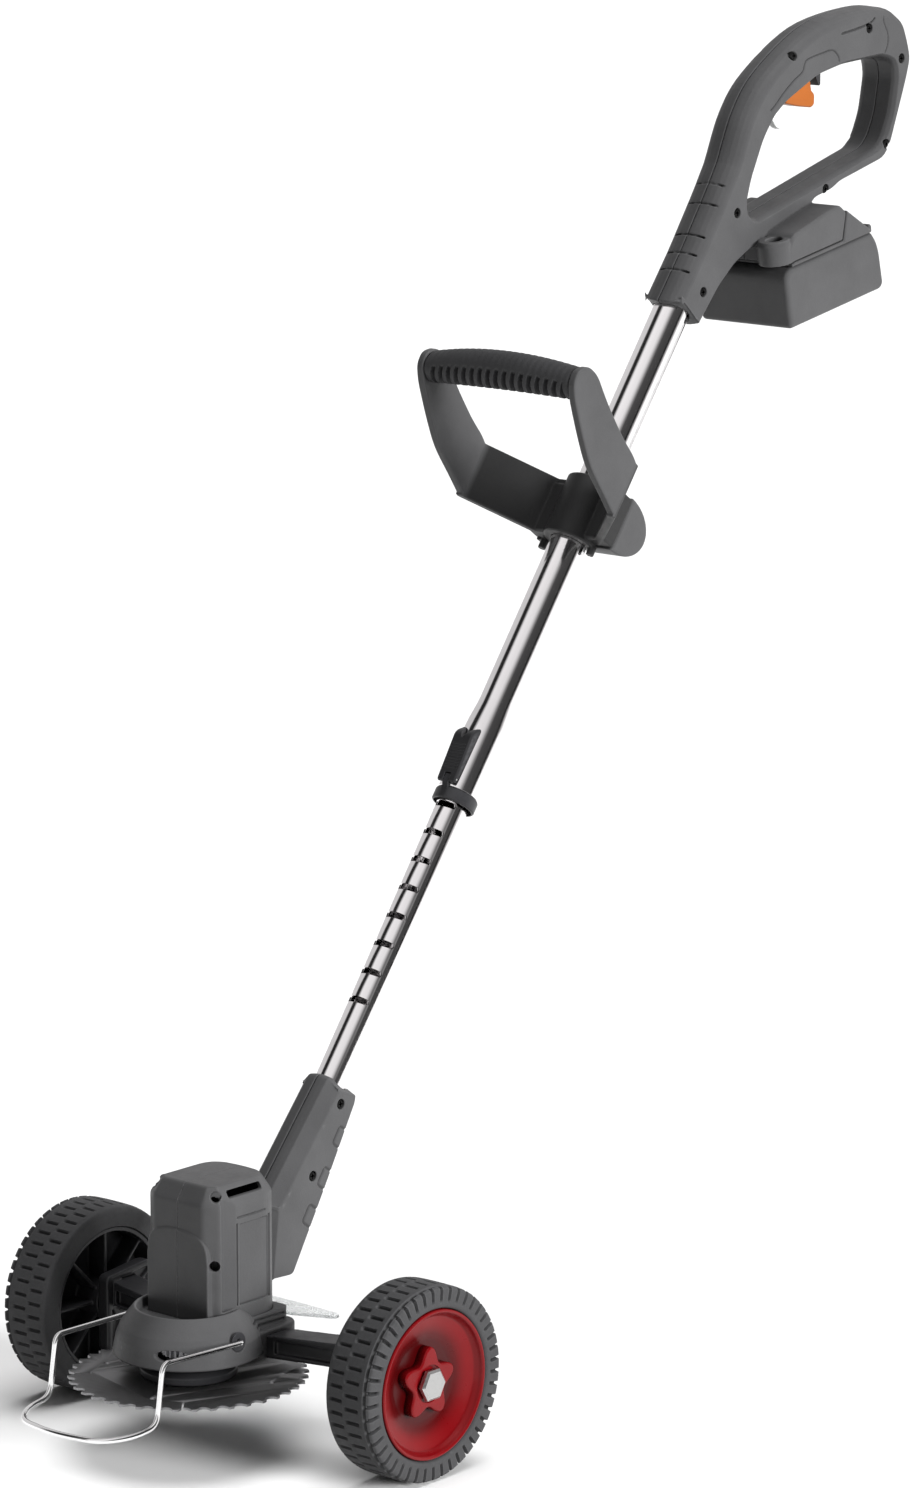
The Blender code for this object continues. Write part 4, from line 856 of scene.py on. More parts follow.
def switch_group():
    outline = [(588, 806.5), (603.5, 803.2), (617.5, 801.6), (620.3, 803.6), (620.5, 810.6), (617.0, 813.4)]
    outline += [(613.5, 829), (596, 829), (587, 822)]
    outline = corners(outline, [3, 5, 1.5, 1.5, 2, 0.2, 1, 2, 2], 5)
    trigger = slab("trigger_form", outline, -6.0, 6.0, edge=1.4)
    for k in range(5):
        y = 604.5 + 4.6 * k
        z = 799.85 + 0.16 * (613.7 - y)
        cut(trigger, bars("finger_line", [((-3.6, y, z), (3.6, y, z), 0.5)], 12))
    soften(trigger, 0.28, 2, 50000)
    place(trigger, "trigger", ORANGE)
    body = [(598, 833), (618.8, 834), (621.3, 821.9), (624.9, 815.9), (626.4, 816.4), (626.6, 833.5)]
    body += [(654, 836), (654, 853), (626, 850), (600, 839.5)]
    body = corners(body, [1.2, 0.2, 1.2, 0.4, 0.4, 0.2, 1.2, 1.2, 1.2, 1.2], 3)
    place(slab("switch_form", body, -5.8, 5.8, edge=0.2), "switch_body", BLACK)
    tab = [(569, 807), (574, 811), (581, 804.5), (591.5, 793), (589, 788.5), (583, 790), (574.5, 800)]
    lever = slab("tab_form", corners(tab, [1, 1.5, 3, 2, 2, 3, 3], 5), -3.0, 3.0, edge=1.0)
    place(lever, "lock_off_tab", NYLON)


def battery():
    case = [pack_yz(0.0, 2.0), pack_yz(1.6, 0.0), pack_yz(101.5, 0.0), pack_yz(104.8, 3.2)]
    case += [pack_yz(103.8, 26.0), pack_yz(102.0, 33.6), pack_yz(97.4, 41.0)]
    case += [pack_yz(7.8, 41.0), pack_yz(3.4, 39.4), pack_yz(0.6, 35.6), pack_yz(0.0, 31.0)]
    case = corners(case, [1, 1, 2, 2, 8, 4, 1, 1, 2, 2, 4], 4)
    tray = slab("battery_tray", case, -FOOT_HALF, FOOT_HALF, edge=3.2, steps=6)
    hollow = [pack_yz(3.0, 2.4), pack_yz(101.6, 2.4), pack_yz(100.8, 26.0), pack_yz(99.0, 33.0)]
    hollow += [pack_yz(94.0, 40.0), pack_yz(94.0, 50.0), pack_yz(11.0, 50.0), pack_yz(11.0, 40.0)]
    hollow += [pack_yz(5.8, 38.0), pack_yz(3.2, 34.0)]
    cut(tray, slab("tray_space", hollow, -FOOT_HALF + 3.2, FOOT_HALF - 3.2))
    for c in (10.0, 15.0, 20.0):
        vent = [pack_yz(b, c + up) for b, up in box_yz(103.0, -0.9, 106.5, 0.9)]
        cut(tray, slab("tray_line", vent, -22.0, 22.0))
    soften(tray, 0.7, 2, 70000)
    place(tray, "battery_case", CHARCOAL)
    lid = [pack_yz(8.4, 41.3), pack_yz(97.0, 41.3), pack_yz(97.4, 45.6), pack_yz(96.4, 47.2)]
    lid += [pack_yz(95.0, 46.8), pack_yz(93.9, 45.6), pack_yz(72.6, 63.4), pack_yz(65.7, PACK_HEIGHT)]
    lid += [pack_yz(12.0, PACK_HEIGHT), pack_yz(8.8, 43.2)]
    cover = slab("battery_cover", lid, -FOOT_HALF, FOOT_HALF, edge=1.2)
    stem = [pack_yz(10.6, 42), pack_yz(10.6, 48.5), pack_yz(63, 48.5), pack_yz(63, 42)]
    head = [pack_yz(10.6, 47.4), pack_yz(10.6, 53.6), pack_yz(63.5, 53.6), pack_yz(63.5, 47.4)]
    add(cover, slab("rail_stem", stem, -23.6, 23.6))
    add(cover, slab("rail_head", head, -29.6, 29.6))
    well = [pack_yz(68.6, 44.6), pack_yz(76.8, 65.0), pack_yz(90.9, 65.0), pack_yz(90.9, 44.6)]
    cut(cover, slab("button_space", well, -16.0, 16.0))
    for side in (-1, 1):
        gap = [pack_yz(8, 49), pack_yz(8, 58), pack_yz(42, 58), pack_yz(42, 49)]
        cut(cover, slab("contact_space", gap, side * 8 - 1.6, side * 8 + 1.6))
    soften(cover, 0.5, 2, 80000)
    place(cover, "battery_lid", CHARCOAL)
    key = [pack_yz(70.4, 48.0), pack_yz(75.2, 60.2), pack_yz(76.4, 61.0), pack_yz(78.0, 60.4)]
    key = corners(key + [pack_yz(90.4, 50.0), pack_yz(90.4, 48.0)], [0.5, 2, 1, 2, 2, 0.5], 4)
    button = slab("button_form", key, -15.7, 15.7, edge=1.2)
    for k in range(5):
        y, z = pack_yz(80.4 + 2.0 * k, 58.6 - 1.68 * k)
        cut(button, bars("thumb_line", [((-9, y, z), (9, y, z), 0.55)], 12))
    place(rounded(button, 0.2, 2), "battery_button", BLACK)


# ---------------------------------------------------------------- pole

def notch_cutters():
    """Lens-shaped notches filed across the front of the lower tube."""
    bm = bmesh.new()
    for i in range(NOTCH_COUNT):
        s = NOTCH_FIRST + i * NOTCH_PITCH
        ring = [pole_yz(s - 1.8, 6.6), pole_yz(s - 2.3, 11.5), pole_yz(s - 2.5, 20)]
        ring += [pole_yz(s + 2.5, 20), pole_yz(s + 2.3, 11.5), pole_yz(s + 1.8, 6.6), pole_yz(s, 6.1)]
        loft_into(bm, [at_x(ring, -20), at_x(ring, 20)])
    return to_object("notches", bm)


def pole():
    axis = on_pole(1, 0) - on_pole(0, 0)
    inner = UPPER_R - 1.2
    wide = SWAGE_R - 1.2
    profile = [(SWAGE_END, SWAGE_R - 0.4), (SWAGE_END + 0.4, SWAGE_R), (519, SWAGE_R), (524, SWAGE_R - 0.2)]
    profile += [(536, UPPER_R + 0.2), (541, UPPER_R), (900, UPPER_R)]
    profile += [(900, inner), (541, inner), (519, wide), (SWAGE_END, wide)]
    upper = turned("upper_form", profile, on_pole(0, 0), axis, 96, True)
    cut(upper, cross_bar("cross_hole", on_pole(858.5, -4.0), 2.0))
    window = [pole_yz(s, n) for s, n in ((502.3, 8), (502.3, 20), (505.9, 20), (505.9, 8))]
    cut(upper, slab("latch_window", window, -4.6, 4.6))
    slot = [pole_yz(s, n) for s, n in ((460, 8), (460, 20), (482, 20), (482, 8))]
    cut(upper, slab("tab_window", slot, -TAB_HALF - GAP, TAB_HALF + GAP))
    place(upper, "upper_tube", CHROME, False)
    inner = LOWER_R - 1.2
    profile = [(168, LOWER_R), (560, LOWER_R), (560, inner), (168, inner)]
    lower = turned("lower_form", profile, on_pole(0, 0), axis, 96, True)
    cut(lower, notch_cutters())
    for s, n in ((252.4, -0.6), (202.7, -3.9)):
        cut(lower, cross_bar("cross_hole", on_pole(s, n), 2.0))
    place(rounded(lower, 0.3, 2, 40), "lower_tube", CHROME, False)
    inside = LOWER_R + GAP
    outside = wide - GAP
    profile = [(COLLAR_LOW, 13.3), (COLLAR_LOW, COLLAR_R - 0.7), (COLLAR_LOW + 0.8, COLLAR_R)]
    profile += [(SWAGE_END - 1.4, COLLAR_R), (SWAGE_END - GAP, COLLAR_R - 0.6), (SWAGE_END - GAP, outside)]
    profile += [(516, outside), (516, inside), (COLLAR_LOW + 4.0, inside), (COLLAR_LOW + 4.0, 13.3)]
    bush = turned("bush_form", profile, on_pole(0, 0), axis, 96, True)
    cut(bush, slab("bush_window", window, -4.6, 4.6))
    tab = [(470.5, 12.0), (470.5, 14.4), (473.5, 15.4), (475.2, 16.5), (481.5, 16.5), (481.5, 12.0)]
    add(bush, slab("bush_tab", [pole_yz(s, n) for s, n in tab], -TAB_HALF, TAB_HALF, edge=0.3))
    cut(bush, cross_bar("pin_bore", on_pole(*LATCH_PIVOT), 1.0))
    place(rounded(bush, 0.25, 3, 40), "guide_bush", BLACK)


def pole_latch():
    """Flip lever whose finger drops through the tube windows into a notch."""
    side = ((475.9, 14.7), (475.9, 15.9), (477.2, 16.9), (509.6, 19.2), (512.6, 17.6), (517.0, 12.6))
    side += ((514.0, 11.6), (478.0, 13.2))
    outline = corners([pole_yz(s, n) for s, n in side], [0.4, 0.8, 1.5, 2, 2.5, 0.8, 1, 1], 4)
    lever = slab("lever_form", outline, -LATCH_HALF, LATCH_HALF, edge=1.3)
    cut(lever, pole_bar("lever_bore", 440, 540, SWAGE_R + GAP, 64))
    fork = [pole_yz(s, n) for s, n in ((465, 5.0), (465, 24.0), (482.2, 24.0), (482.2, 5.0))]
    cut(lever, slab("lever_fork", fork, -TAB_HALF - GAP, TAB_HALF + GAP))
    notch = [(0.0, 506.0), (6.2, 520.0), (-6.2, 520.0)]
    rings = [[on_pole(s, n, x) for x, s in corners(notch, [2.0, 0, 0], 3)] for n in (10.0, 25.0)]
    cut(lever, loft("thumb_notch", rings))
    for k in range(9):
        s = 485.6 + 2.1 * k
        n = 17.35 + 0.071 * (s - 485.6)
        ends = (on_pole(s, n + 0.25, -5.4), on_pole(s, n + 0.25, 5.4))
        cut(lever, bars("lever_line", [(ends[0], ends[1], 0.45)], 10))
    near = []
    far = []
    for n in (LOWER_R + GAP, 12.0, 13.0, 14.5, 16.2):
        drop = LATCH_PIVOT[1] - n
        for side_reach, row in ((-1.1, near), (1.1, far)):
            reach = FINGER_REACH + side_reach
            row.append(pole_yz(LATCH_PIVOT[0] + math.sqrt(reach * reach - drop * drop), n))
    add(lever, slab("lever_finger", near + list(reversed(far)), -4.2, 4.2))
    cut(lever, cross_bar("pin_bore", on_pole(*LATCH_PIVOT), 1.0))
    soften(lever, 0.22, 2, 80000)
    place(lever, "latch_lever", BLACK)
    centre = on_pole(*LATCH_PIVOT)
    reach = LATCH_HALF - 0.3
    profile = [(-reach, 0.6), (-reach + 0.3, 0.85), (reach - 0.3, 0.85), (reach, 0.6)]
    pin = turned("pin_form", profile, centre, (1, 0, 0), 32)
    place(pin, "latch_pin", ZINC)


# ---------------------------------------------------------------- auxiliary handle

def aux_screw_axis(side, start, end):
    x = AUX_SCREW_X * side
    return (on_pole(AUX_S, start, x), on_pole(AUX_S, end, x))


def aux_handle():
    outer = AUX_HALF + 0.6
    inner = AUX_HALF - 5.4
    lower = [(outer, 47.0), (outer, 44.0), (24.0, -3.0)]
    upper = [(25.0, 7.0), (inner, 46.4), (inner, 47.0)]
    ring = lower + [(-x, n) for x, n in reversed(lower)] + [(-x, n) for x, n in reversed(upper)] + upper
    body = slab("aux_form", ring, AUX_S - 19.5, AUX_S + 20.5, at_s, 1.1)
    arm = [pole_yz(AUX_S - 18.9, 44.6), (325, 577.5), (311, 597), (302.5, 619), (295, 643), (294, 654)]
    arm += [(299, 662), (309, 663.5), (318, 657), (329, 636), (344, 613), (354.4, 600.5)]
    arm.append(pole_yz(AUX_S + 19.9, 44.6))
    arm = corners(arm, [0, 8, 10, 12, 6, 4, 4, 4, 5, 10, 10, 4, 0], 4)
    for side in (-1, 1):
        add(body, slab("aux_arm", arm, side * (inner + 0.1), side * (outer - 0.1), edge=1.2))
    axis = on_pole(1, 0) - on_pole(0, 0)
    profile = [(AUX_S - 22, 17.6), (AUX_S - 21.2, 18.5), (AUX_S + 21.2, 18.5), (AUX_S + 22, 17.6)]
    add(body, turned("aux_collar", profile, on_pole(0, 0), axis, 64))
    block = both_sides([(33.0, -6.0), (33.0, 8.0)])
    add(body, slab("aux_block", block, AUX_S - 19.0, AUX_S + 17.0, at_s, 1.5))
    cut(body, pole_bar("aux_bore", 600, 760, UPPER_R + GAP, 64))
    cut(body, slab("aux_parting", both_sides([(60.0, -4.0), (60.0, -60.0)]), 640.0, 730.0, at_s))
    for side, x in zip((-1, 1), AUX_PEGS):
        peg = (on_pole(AUX_S - 16, -4.6, x), on_pole(AUX_S - 26.5, -4.6, x), 2.7)
        add(body, bars("aux_peg", [peg]))
        cut(body, bars("aux_screw_space", [aux_screw_axis(side, -20, 6) + (2.3,)]))
    soften(body, 0.5, 2, 130000)
    place(body, "aux_handle", SHADED)
    outline = []
    for k in range(25):
        c, s = polar(AUX_CLAMP_R, math.pi * (1 + k / 24.0))
        outline.append(pole_yz(AUX_S - 1 + c, -4.3 + 1.45 * s))
    clamp = slab("clamp_form", outline, -33.0, 33.0, edge=2.0, steps=5)
    cut(clamp, pole_bar("clamp_bore", 600, 760, UPPER_R + GAP, 64))
    for side in (-1, 1):
        cut(clamp, bars("clamp_space", [aux_screw_axis(side, -60, 30) + (2.3,)]))
        cut(clamp, bars("clamp_head_space", [aux_screw_axis(side, -60, -16) + (4.6,)]))
    soften(clamp, 0.55, 2, 70000)
    place(clamp, "aux_clamp", CHARCOAL)
    axis = on_pole(0, 1) - on_pole(0, 0)
    for side, word in ((-1, "left"), (1, "right")):
        profile = [(-20.0, 3.5), (-19.6, 4.2), (-16.4, 4.2), (-16.4, 2.0), (4.4, 2.0), (5.0, 1.4)]
        centre = on_pole(AUX_S, 0, AUX_SCREW_X * side)
        screw = turned("aux_screw_form", profile, centre, axis, 40)
        start = centre - axis * 22.0
        hexagon = turned("hexagon", [(0.0, 2.3), (4.4, 2.3)], start, axis, 6)
        cut(screw, hexagon)
        place(screw, "aux_screw_" + word, ZINC)
    aux_grip()


def aux_grip():
    """Curved grip with slanting slots round its underside and shallow scallops on its top."""
    along = 560
    round_count = 72
    reach = AUX_HALF - 5.4 - GAP
    rings = []
    for i in range(along + 1):
        t = -1 + 2 * i / along
        rise = 1 - t * t
        centre = Vector((reach * t, 306.5 - 2.0 * rise, 651.5 + 3.5 * rise))
        end = min(1.0, (1.0 - abs(t)) * reach / 1.6)
        lip = 1.0 - 0.06 * (1.0 - end) ** 2
        ring = []
        for k in range(round_count):
            angle = 2 * math.pi * k / round_count
            c, s = polar(1.0, angle)
            tall = 10.6 + 2.2 * rise
            depth = 0.0
            front = (math.degrees(angle) - 222.0) / 50.0
            slant = reach * t + 3.0 * front
            phase = (slant / 6.9 + 0.5) % 1.0 - 0.5
            lengthways = max(0.0, 1.0 - abs(front) ** 6)
            if abs(t) < 0.93 and lengthways > 0:
                slot = max(0.0, 1.0 - (abs(phase) / 0.26) ** 6)
                depth += 4.0 * slot * min(1.0, lengthways * 1.6)
            top = max(0.0, s)
            depth += 0.22 * top * (0.5 + 0.5 * math.cos(2 * math.pi * reach * t / 5.2)) * (abs(t) < 0.95)
            ring.append(centre + Vector((0, c * (12.0 * lip - depth), s * (tall * lip - depth))))
        rings.append(ring)
    place(loft("grip_form", rings, angle=70), "aux_grip", GRIP, False)


# ---------------------------------------------------------------- neck

NECK_SCREWS = ((252.4, -0.6), (202.7, -3.9))
NECK_SECTION = (
    (0.15, 0.10), (0.6, 0.0), (4.0, 0.04), (8.0, 0.12), (8.4, 0.14), (15.2, 0.94), (NECK_HALF, 1.05),
)


def neck():
    outline = [pole_yz(266, 14.0), (60.3, 149.0), (60.3, 99.5), (82.0, 98.5)]
    outline += [pole_yz(159, -25.0), pole_yz(202, -21.0), pole_yz(260, -14.5), pole_yz(266, -11.5)]
    full = [8.5, 8.5, 2.0, 2.0, 2.5, 2.5, 2.5, 2.5]
    both = [(p[0], p[1], d) for p, d in zip(outline, full)]
    outline = corners(both, [5, 1, 0.6, 4, 6, 10, 3, 3], 4)
    rings = []
    for x, share in NECK_SECTION:
        rings.append(at_x(inset(outline, [p[2] * share for p in outline]), x))
    shell = loft("neck_form", rings)
    cut(shell, pole_bar("neck_bore", 167, 290, LOWER_R + GAP, 48))
    hollow = [(63.5, 124), (63.5, 103), (80, 102), (87, 112), (80, 122)]
    cut(shell, slab("neck_space", hollow, -1.0, NECK_HALF - 3.0))
    for s, n in ((234.0, -11.0), (206.0, -13.5), (180.0, -14.8)):
        rim = [pole_yz(s - 6.0, n - 6.5), pole_yz(s - 6.0, n + 2.6)]
        rim += [pole_yz(s + 6.6, n + 2.9), pole_yz(s + 6.6, n - 6.0)]
        path = corners([(NECK_HALF + 0.1, y, z) for y, z in rim], 2.6, 4, False)
        cut(shell, pipe("catch_line", path, 1.1, 8))
    cut(shell, screw_holes("neck_screw_spaces", [pole_yz(s, n) for s, n in NECK_SCREWS], NECK_HALF))
    soften(shell, 0.45, 2, 110000)
    pair(shell, "neck_shell", CHARCOAL)
    for i, (s, n) in enumerate(NECK_SCREWS):
        side_screw("neck_screw_%d" % (i + 1), *pole_yz(s, n), NECK_HALF)


# ---------------------------------------------------------------- saw head

def housing_outline(grow=0.0, front=HOUSING_FRONT):
    right = [(21.0, front), (HOUSING_HALF, -1.5), (HOUSING_HALF, 40.0), (27.0, 50.0), (17.0, 57.0)]
    outline = right + [(0.0, 58.5)] + [(-x, y) for x, y in reversed(right)]
    outline = corners(outline, [2.5, 3, 6, 5, 6, 9, 6, 5, 6, 3, 2.5], 4)
    return inset(outline, -grow) if grow else outline


def front_pad(grow=0.0):
    """Arched pad on the front of the housing, in the XZ plane."""
    half = [(26.3, 70.0), (26.3, 128.0), (24.6, 138.0), (19.4, 143.6), (10.0, 146.6), (0.0, 147.3)]
    arch = smooth(half[1:] + [(-x, z) for x, z in reversed(half[1:-1])], 5)
    return inset([half[0]] + arch + [(-26.3, 70.0)], -grow)


# name, outline in the YZ plane, and the distance of its floor from the middle plane
SIDE_RECESSES = (
    ("side_panel", corners(box_yz(14.6, 98.0, 42.0, 151.0), 0.8, 3), 29.5),
    ("panel_line", box_yz(42.2, 97.5, 44.7, 151.6), 27.9),
    ("panel_rule", box_yz(12.6, 154.4, 40.0, 156.0), 29.9),
    ("panel_front", box_yz(12.0, 98.0, 13.5, 151.6), 29.9),
    ("side_vent", corners(box_yz(8.0, 168.2, 39.0, 172.6), 1.2, 3), 15.0),
)


def housing():
    outline = housing_outline(0.0, HOUSING_FRONT + 0.8)
    rings = [at_z(outline, HOUSING_BOTTOM), at_z(outline, 163.8), at_z(inset(outline, 0.4), 165.4)]
    for depth, z in ((1.3, 167.0), (6.0, 174.2), (7.0, 175.4), (8.4, HOUSING_TOP)):
        rings.append(at_z(inset(outline, depth), z))
    shell = loft("housing_form", rings)
    pad = [(x, max(z, HOUSING_BOTTOM)) for x, z in front_pad()]
    add(shell, slab("housing_pad", pad, HOUSING_FRONT, 2.0, at_y, 0.9, ends=(True, False)))
    outline = housing_outline()
    rings = [at_z(inset(outline, 3.4), HOUSING_BOTTOM - 2), at_z(inset(outline, 3.4), HOUSING_SHOULDER - 1.5)]
    rings += [at_z(inset(outline, 9.4), HOUSING_TOP - WALL)]
    cut(shell, loft("housing_space", rings))
    for side in (-1, 1):
        ramp = [(31.8 * side, -1.6), (27.9 * side, -0.2), (28.5 * side, 3.4), (31.5 * side, 12.8)]
        cut(shell, slab("side_ramp", ramp, 96.5, 180.0, at_z))
        for low, high in ((84.0, 120.0), (133.0, 163.0)):
            crease = ((28.9 * side, 1.6, low), (28.9 * side, 1.6, high), 0.85)
            cut(shell, bars("ramp_crease", [crease]))
        for name, ring, floor in SIDE_RECESSES:
            cut(shell, slab(name, ring, *sorted((floor * side, 40.0 * side))))
        for z, y in ((170.5, -3.5), (126.6, -4.5)):
            point = Vector((27.5 * side, y, z))
            away = Vector((0.6 * side, -0.8, 0.0))
            cut(shell, bars("screw_sink", [(point - away * 6, point + away * 8, 3.4)], 28))
    soften(shell, 0.5, 2, 180000)
    cut(shell, blocks("other_half", [((-60, -40, 40), (GAP / 2, 90, 220))]))
    pair(shell, "motor_housing", CHARCOAL)


def skirt():
    profile = [(65.8, SKIRT_R - 1.0), (66.8, SKIRT_R - 0.2), (71.5, 47.0), (78.0, 45.6), (84.4, 43.0)]
    profile += [(90.4, 38.9), (94.8, 35.4), (96.2, 34.2), (96.3, 33.0), (95.4, 32.4), (89.8, 32.0)]
    guard = turned("guard_form", profile + [(89.4, 31.4), (89.4, 18.0)], (0, 0, 0), (0, 0, 1), 128)
    low = [(SHELF_HALF, 4.0), (SHELF_HALF, 58.0), (31.0, SHELF_BACK), (-31.0, SHELF_BACK)]
    low = corners(low + [(-SHELF_HALF, 58.0), (-SHELF_HALF, 4.0)], [0, 6, 6, 6, 6, 0], 4)
    rings = [at_z(low, SKIRT_BOTTOM + 0.5), at_z(low, 77.6)]
    rings += [at_z(inset(low, 0.3), 78.4), at_z(inset(low, 1.1), 79.0)]
    add(guard, loft("guard_shelf", rings))
    neck_ring = inset(low, 5.2)
    rings = [at_z(neck_ring, 70.0), at_z(neck_ring, 87.4), at_z(inset(neck_ring, 0.7), 88.3)]
    add(guard, loft("guard_socket", rings))
    for side in (-1, 1):
        for z in (80.4, 84.2):
            line = box_yz(16.0, z, 54.0, z + 1.5)
            cut(guard, slab("socket_line", line, *sorted((31.8 * side, 37.0 * side))))
    cut(guard, slab("housing_seat", housing_outline(GAP), HOUSING_BOTTOM - GAP, 130, at_z))
    pad = [(x, max(z, HOUSING_BOTTOM - GAP)) for x, z in front_pad(GAP)]
    cut(guard, slab("pad_seat", pad, HOUSING_FRONT - GAP, 3.0, at_y))
    inner = [(55.0, SKIRT_R - WALL), (71.0, 47.0 - WALL), (83.4, 43.0 - WALL), (86.6, 36.5)]
    hollow = turned("guard_space", inner + [(86.8, 30.0)], (0, 0, 0), (0, 0, 1), 64)
    back = [(SHELF_HALF - WALL, 8.0), (SHELF_HALF - WALL, 57.0), (30.0, SHELF_BACK - WALL)]
    back += [(-30.0, SHELF_BACK - WALL), (-SHELF_HALF + WALL, 57.0), (-SHELF_HALF + WALL, 8.0)]
    add(hollow, slab("shelf_space", back, 54.0, 75.0, at_z))
    cut(hollow, slab("housing_wall", housing_outline(GAP + WALL), HOUSING_BOTTOM - GAP - WALL, 130, at_z))
    settle_keep(hollow)
    cut(guard, hollow)
    cut(guard, bars("spindle_space", [((0, 0, 50), (0, 0, HOUSING_BOTTOM), 11.3)], 48))
    cut(guard, bars("pinion_space", [((0, MOTOR_Y, 50), (0, MOTOR_Y, 90), 6.6)]))
    cut(guard, bars("wire_space", [((-60, -2, 81), (60, -2, 81), 2.1)], 24))
    for side in (-1, 1):
        cut(guard, bars("washer_seat", [((44.4 * side, -2, 81), (60 * side, -2, 81), 6.6)], 48))
    slot = [(22.6 + 9.6 * c, 75.4 + 3.4 * s) for c, s in [polar(1.0, math.pi * k / 16) for k in range(32)]]
    cut(guard, slab("front_slot", slot, -60.0, -30.0, at_y))
    soften(guard, 0.5, 2, 150000)
    place(guard, "blade_guard", CHARCOAL)


def blade():
    outline = []
    shape = ((0.0, 0.0), (0.03, 0.05), (0.30, 0.9), (0.345, 1.9), (0.40, 3.4), (0.50, 4.4), (0.62, 4.6))
    shape += ((0.76, 4.3), (0.88, 3.2), (0.95, 1.8), (0.985, 0.5))
    for i in range(BLADE_TEETH):
        for part, drop in shape:
            outline.append(polar(BLADE_R - drop, 2 * math.pi * (i + part) / BLADE_TEETH))
    disc = slab("blade_form", outline, BLADE_Z - 0.8, BLADE_Z + 0.8, at_z, 0.12, 1)
    items = [((0, 0, 40), (0, 0, 60), SPINDLE_R + GAP)]
    for k in range(4):
        x, y = polar(56.5, math.radians(20 + 90 * k))
        items.append(((x, y, 40), (x, y, 60), 2.2))
        x, y = polar(61.5, math.radians(-49.5 + 90 * k))
        items.append(((x, y, 40), (x, y, 60), 1.5))
    cut(disc, bars("blade_holes", items, 32))
    for k in range(4):
        c, s = polar(1.0, math.radians(-49.5 + 90 * k))
        ring = []
        for along, across in ((61, -0.6), (85, -0.6), (85, 0.6), (61, 0.6)):
            ring.append((along * c - across * s, along * s + across * c))
        cut(disc, slab("blade_slot", ring, 40, 60, at_z))
    place(disc, "saw_blade", BLADE_STEEL, False)
    top = BLADE_Z + 1.1
    low = BLADE_Z - 1.1
    bore = SPINDLE_R + GAP
    profile = [(top, bore), (top, HUB_R - 1.0), (top + 1, HUB_R), (top + 5, HUB_R), (top + 8, HUB_R - 4)]
    profile += [(top + 8, 14.0), (top + 11, 12.5), (top + 11, bore)]
    flange = turned("flange_form", profile, (0, 0, 0), (0, 0, 1), 96, True, 0.8)
    place(flange, "blade_flange", BLACK)
    hexagon = [(low - 8.5, 10.0), (low - 7.9, 10.9), (low - 7.6, 11.0), (low - 1.0, 11.0)]
    nut = turned("nut_form", hexagon, (0, 0, 0), (0, 0, 1), 6, angle=20)
    washer = [(low - 2.6, 15.6), (low - 2.2, 16.0), (low - 0.4, 16.0), (low, 15.7)]
    add(nut, turned("nut_washer", washer, (0, 0, 0), (0, 0, 1), 64))
    cut(nut, bars("nut_bore", [((0, 0, 30), (0, 0, 60), bore)], 48))
    place(nut, "blade_nut", ZINC)


def wire_guard():
    leg = 48.8
    half = [
        (38.5, -2.0, 81.0), (leg - 6.0, -2.0, 81.0), (leg, -2.0, 81.0), (leg - 2.5, -71.0, 83.0),
        (leg - 2.5, -77.0, 44.5), (leg - 3.2, -97.0, 42.0), (leg - 15.0, -115.0, 40.8),
    ]
    other = [(-x, y, z) for x, y, z in reversed(half)]
    bends = [6.0, 6.0, 6.0, 6.0, 8.0, 20.0, 22.0]
    path = corners(half + [(0, -120.5, 40.5)] + other, bends + [60.0] + bends[::-1], 12, False)
    place(pipe("wire_form", path, 1.75, 20), "wire_guard", CHROME_WIRE, False)
    for side, word in ((1, "right"), (-1, "left")):
        profile = [(0.0, 6.2), (0.7, 6.2), (1.1, 5.6), (1.1, 2.6), (0.8, 2.1), (0.0, 2.1)]
        washer = turned("washer_form", profile, (side * 44.75, -2.0, 81.0), (side, 0, 0), 64, True)
        place(washer, "guard_washer_" + word, BLACK)


def rear_guard():
    edge = [(26.0, SHELF_BACK + GAP), (-26.0, SHELF_BACK + GAP)]
    edge += [(-50.0, 84.0), (-46.0, 92.0), (0.0, 95.0), (46.0, 92.0), (50.0, 84.0)]
    edge = corners(edge, [1, 1, 4, 4, 20, 4, 4], 5)
    rings = []
    for depth, drop in ((0.6, 2.0), (0.0, 1.6), (0.0, 0.4), (0.6, 0.0)):
        rings.append([(x, y, 81.0 - 0.12 * (y - SHELF_BACK) - drop) for x, y in inset(edge, depth)])
    place(loft("rear_guard_form", rings), "rear_guard", FROSTED)


# ---------------------------------------------------------------- wheels

def axle_space(name, low, high):
    return bars(name, [((low, WHEEL_Y, WHEEL_R), (high, WHEEL_Y, WHEEL_R), AXLE_R + GAP)], 48)


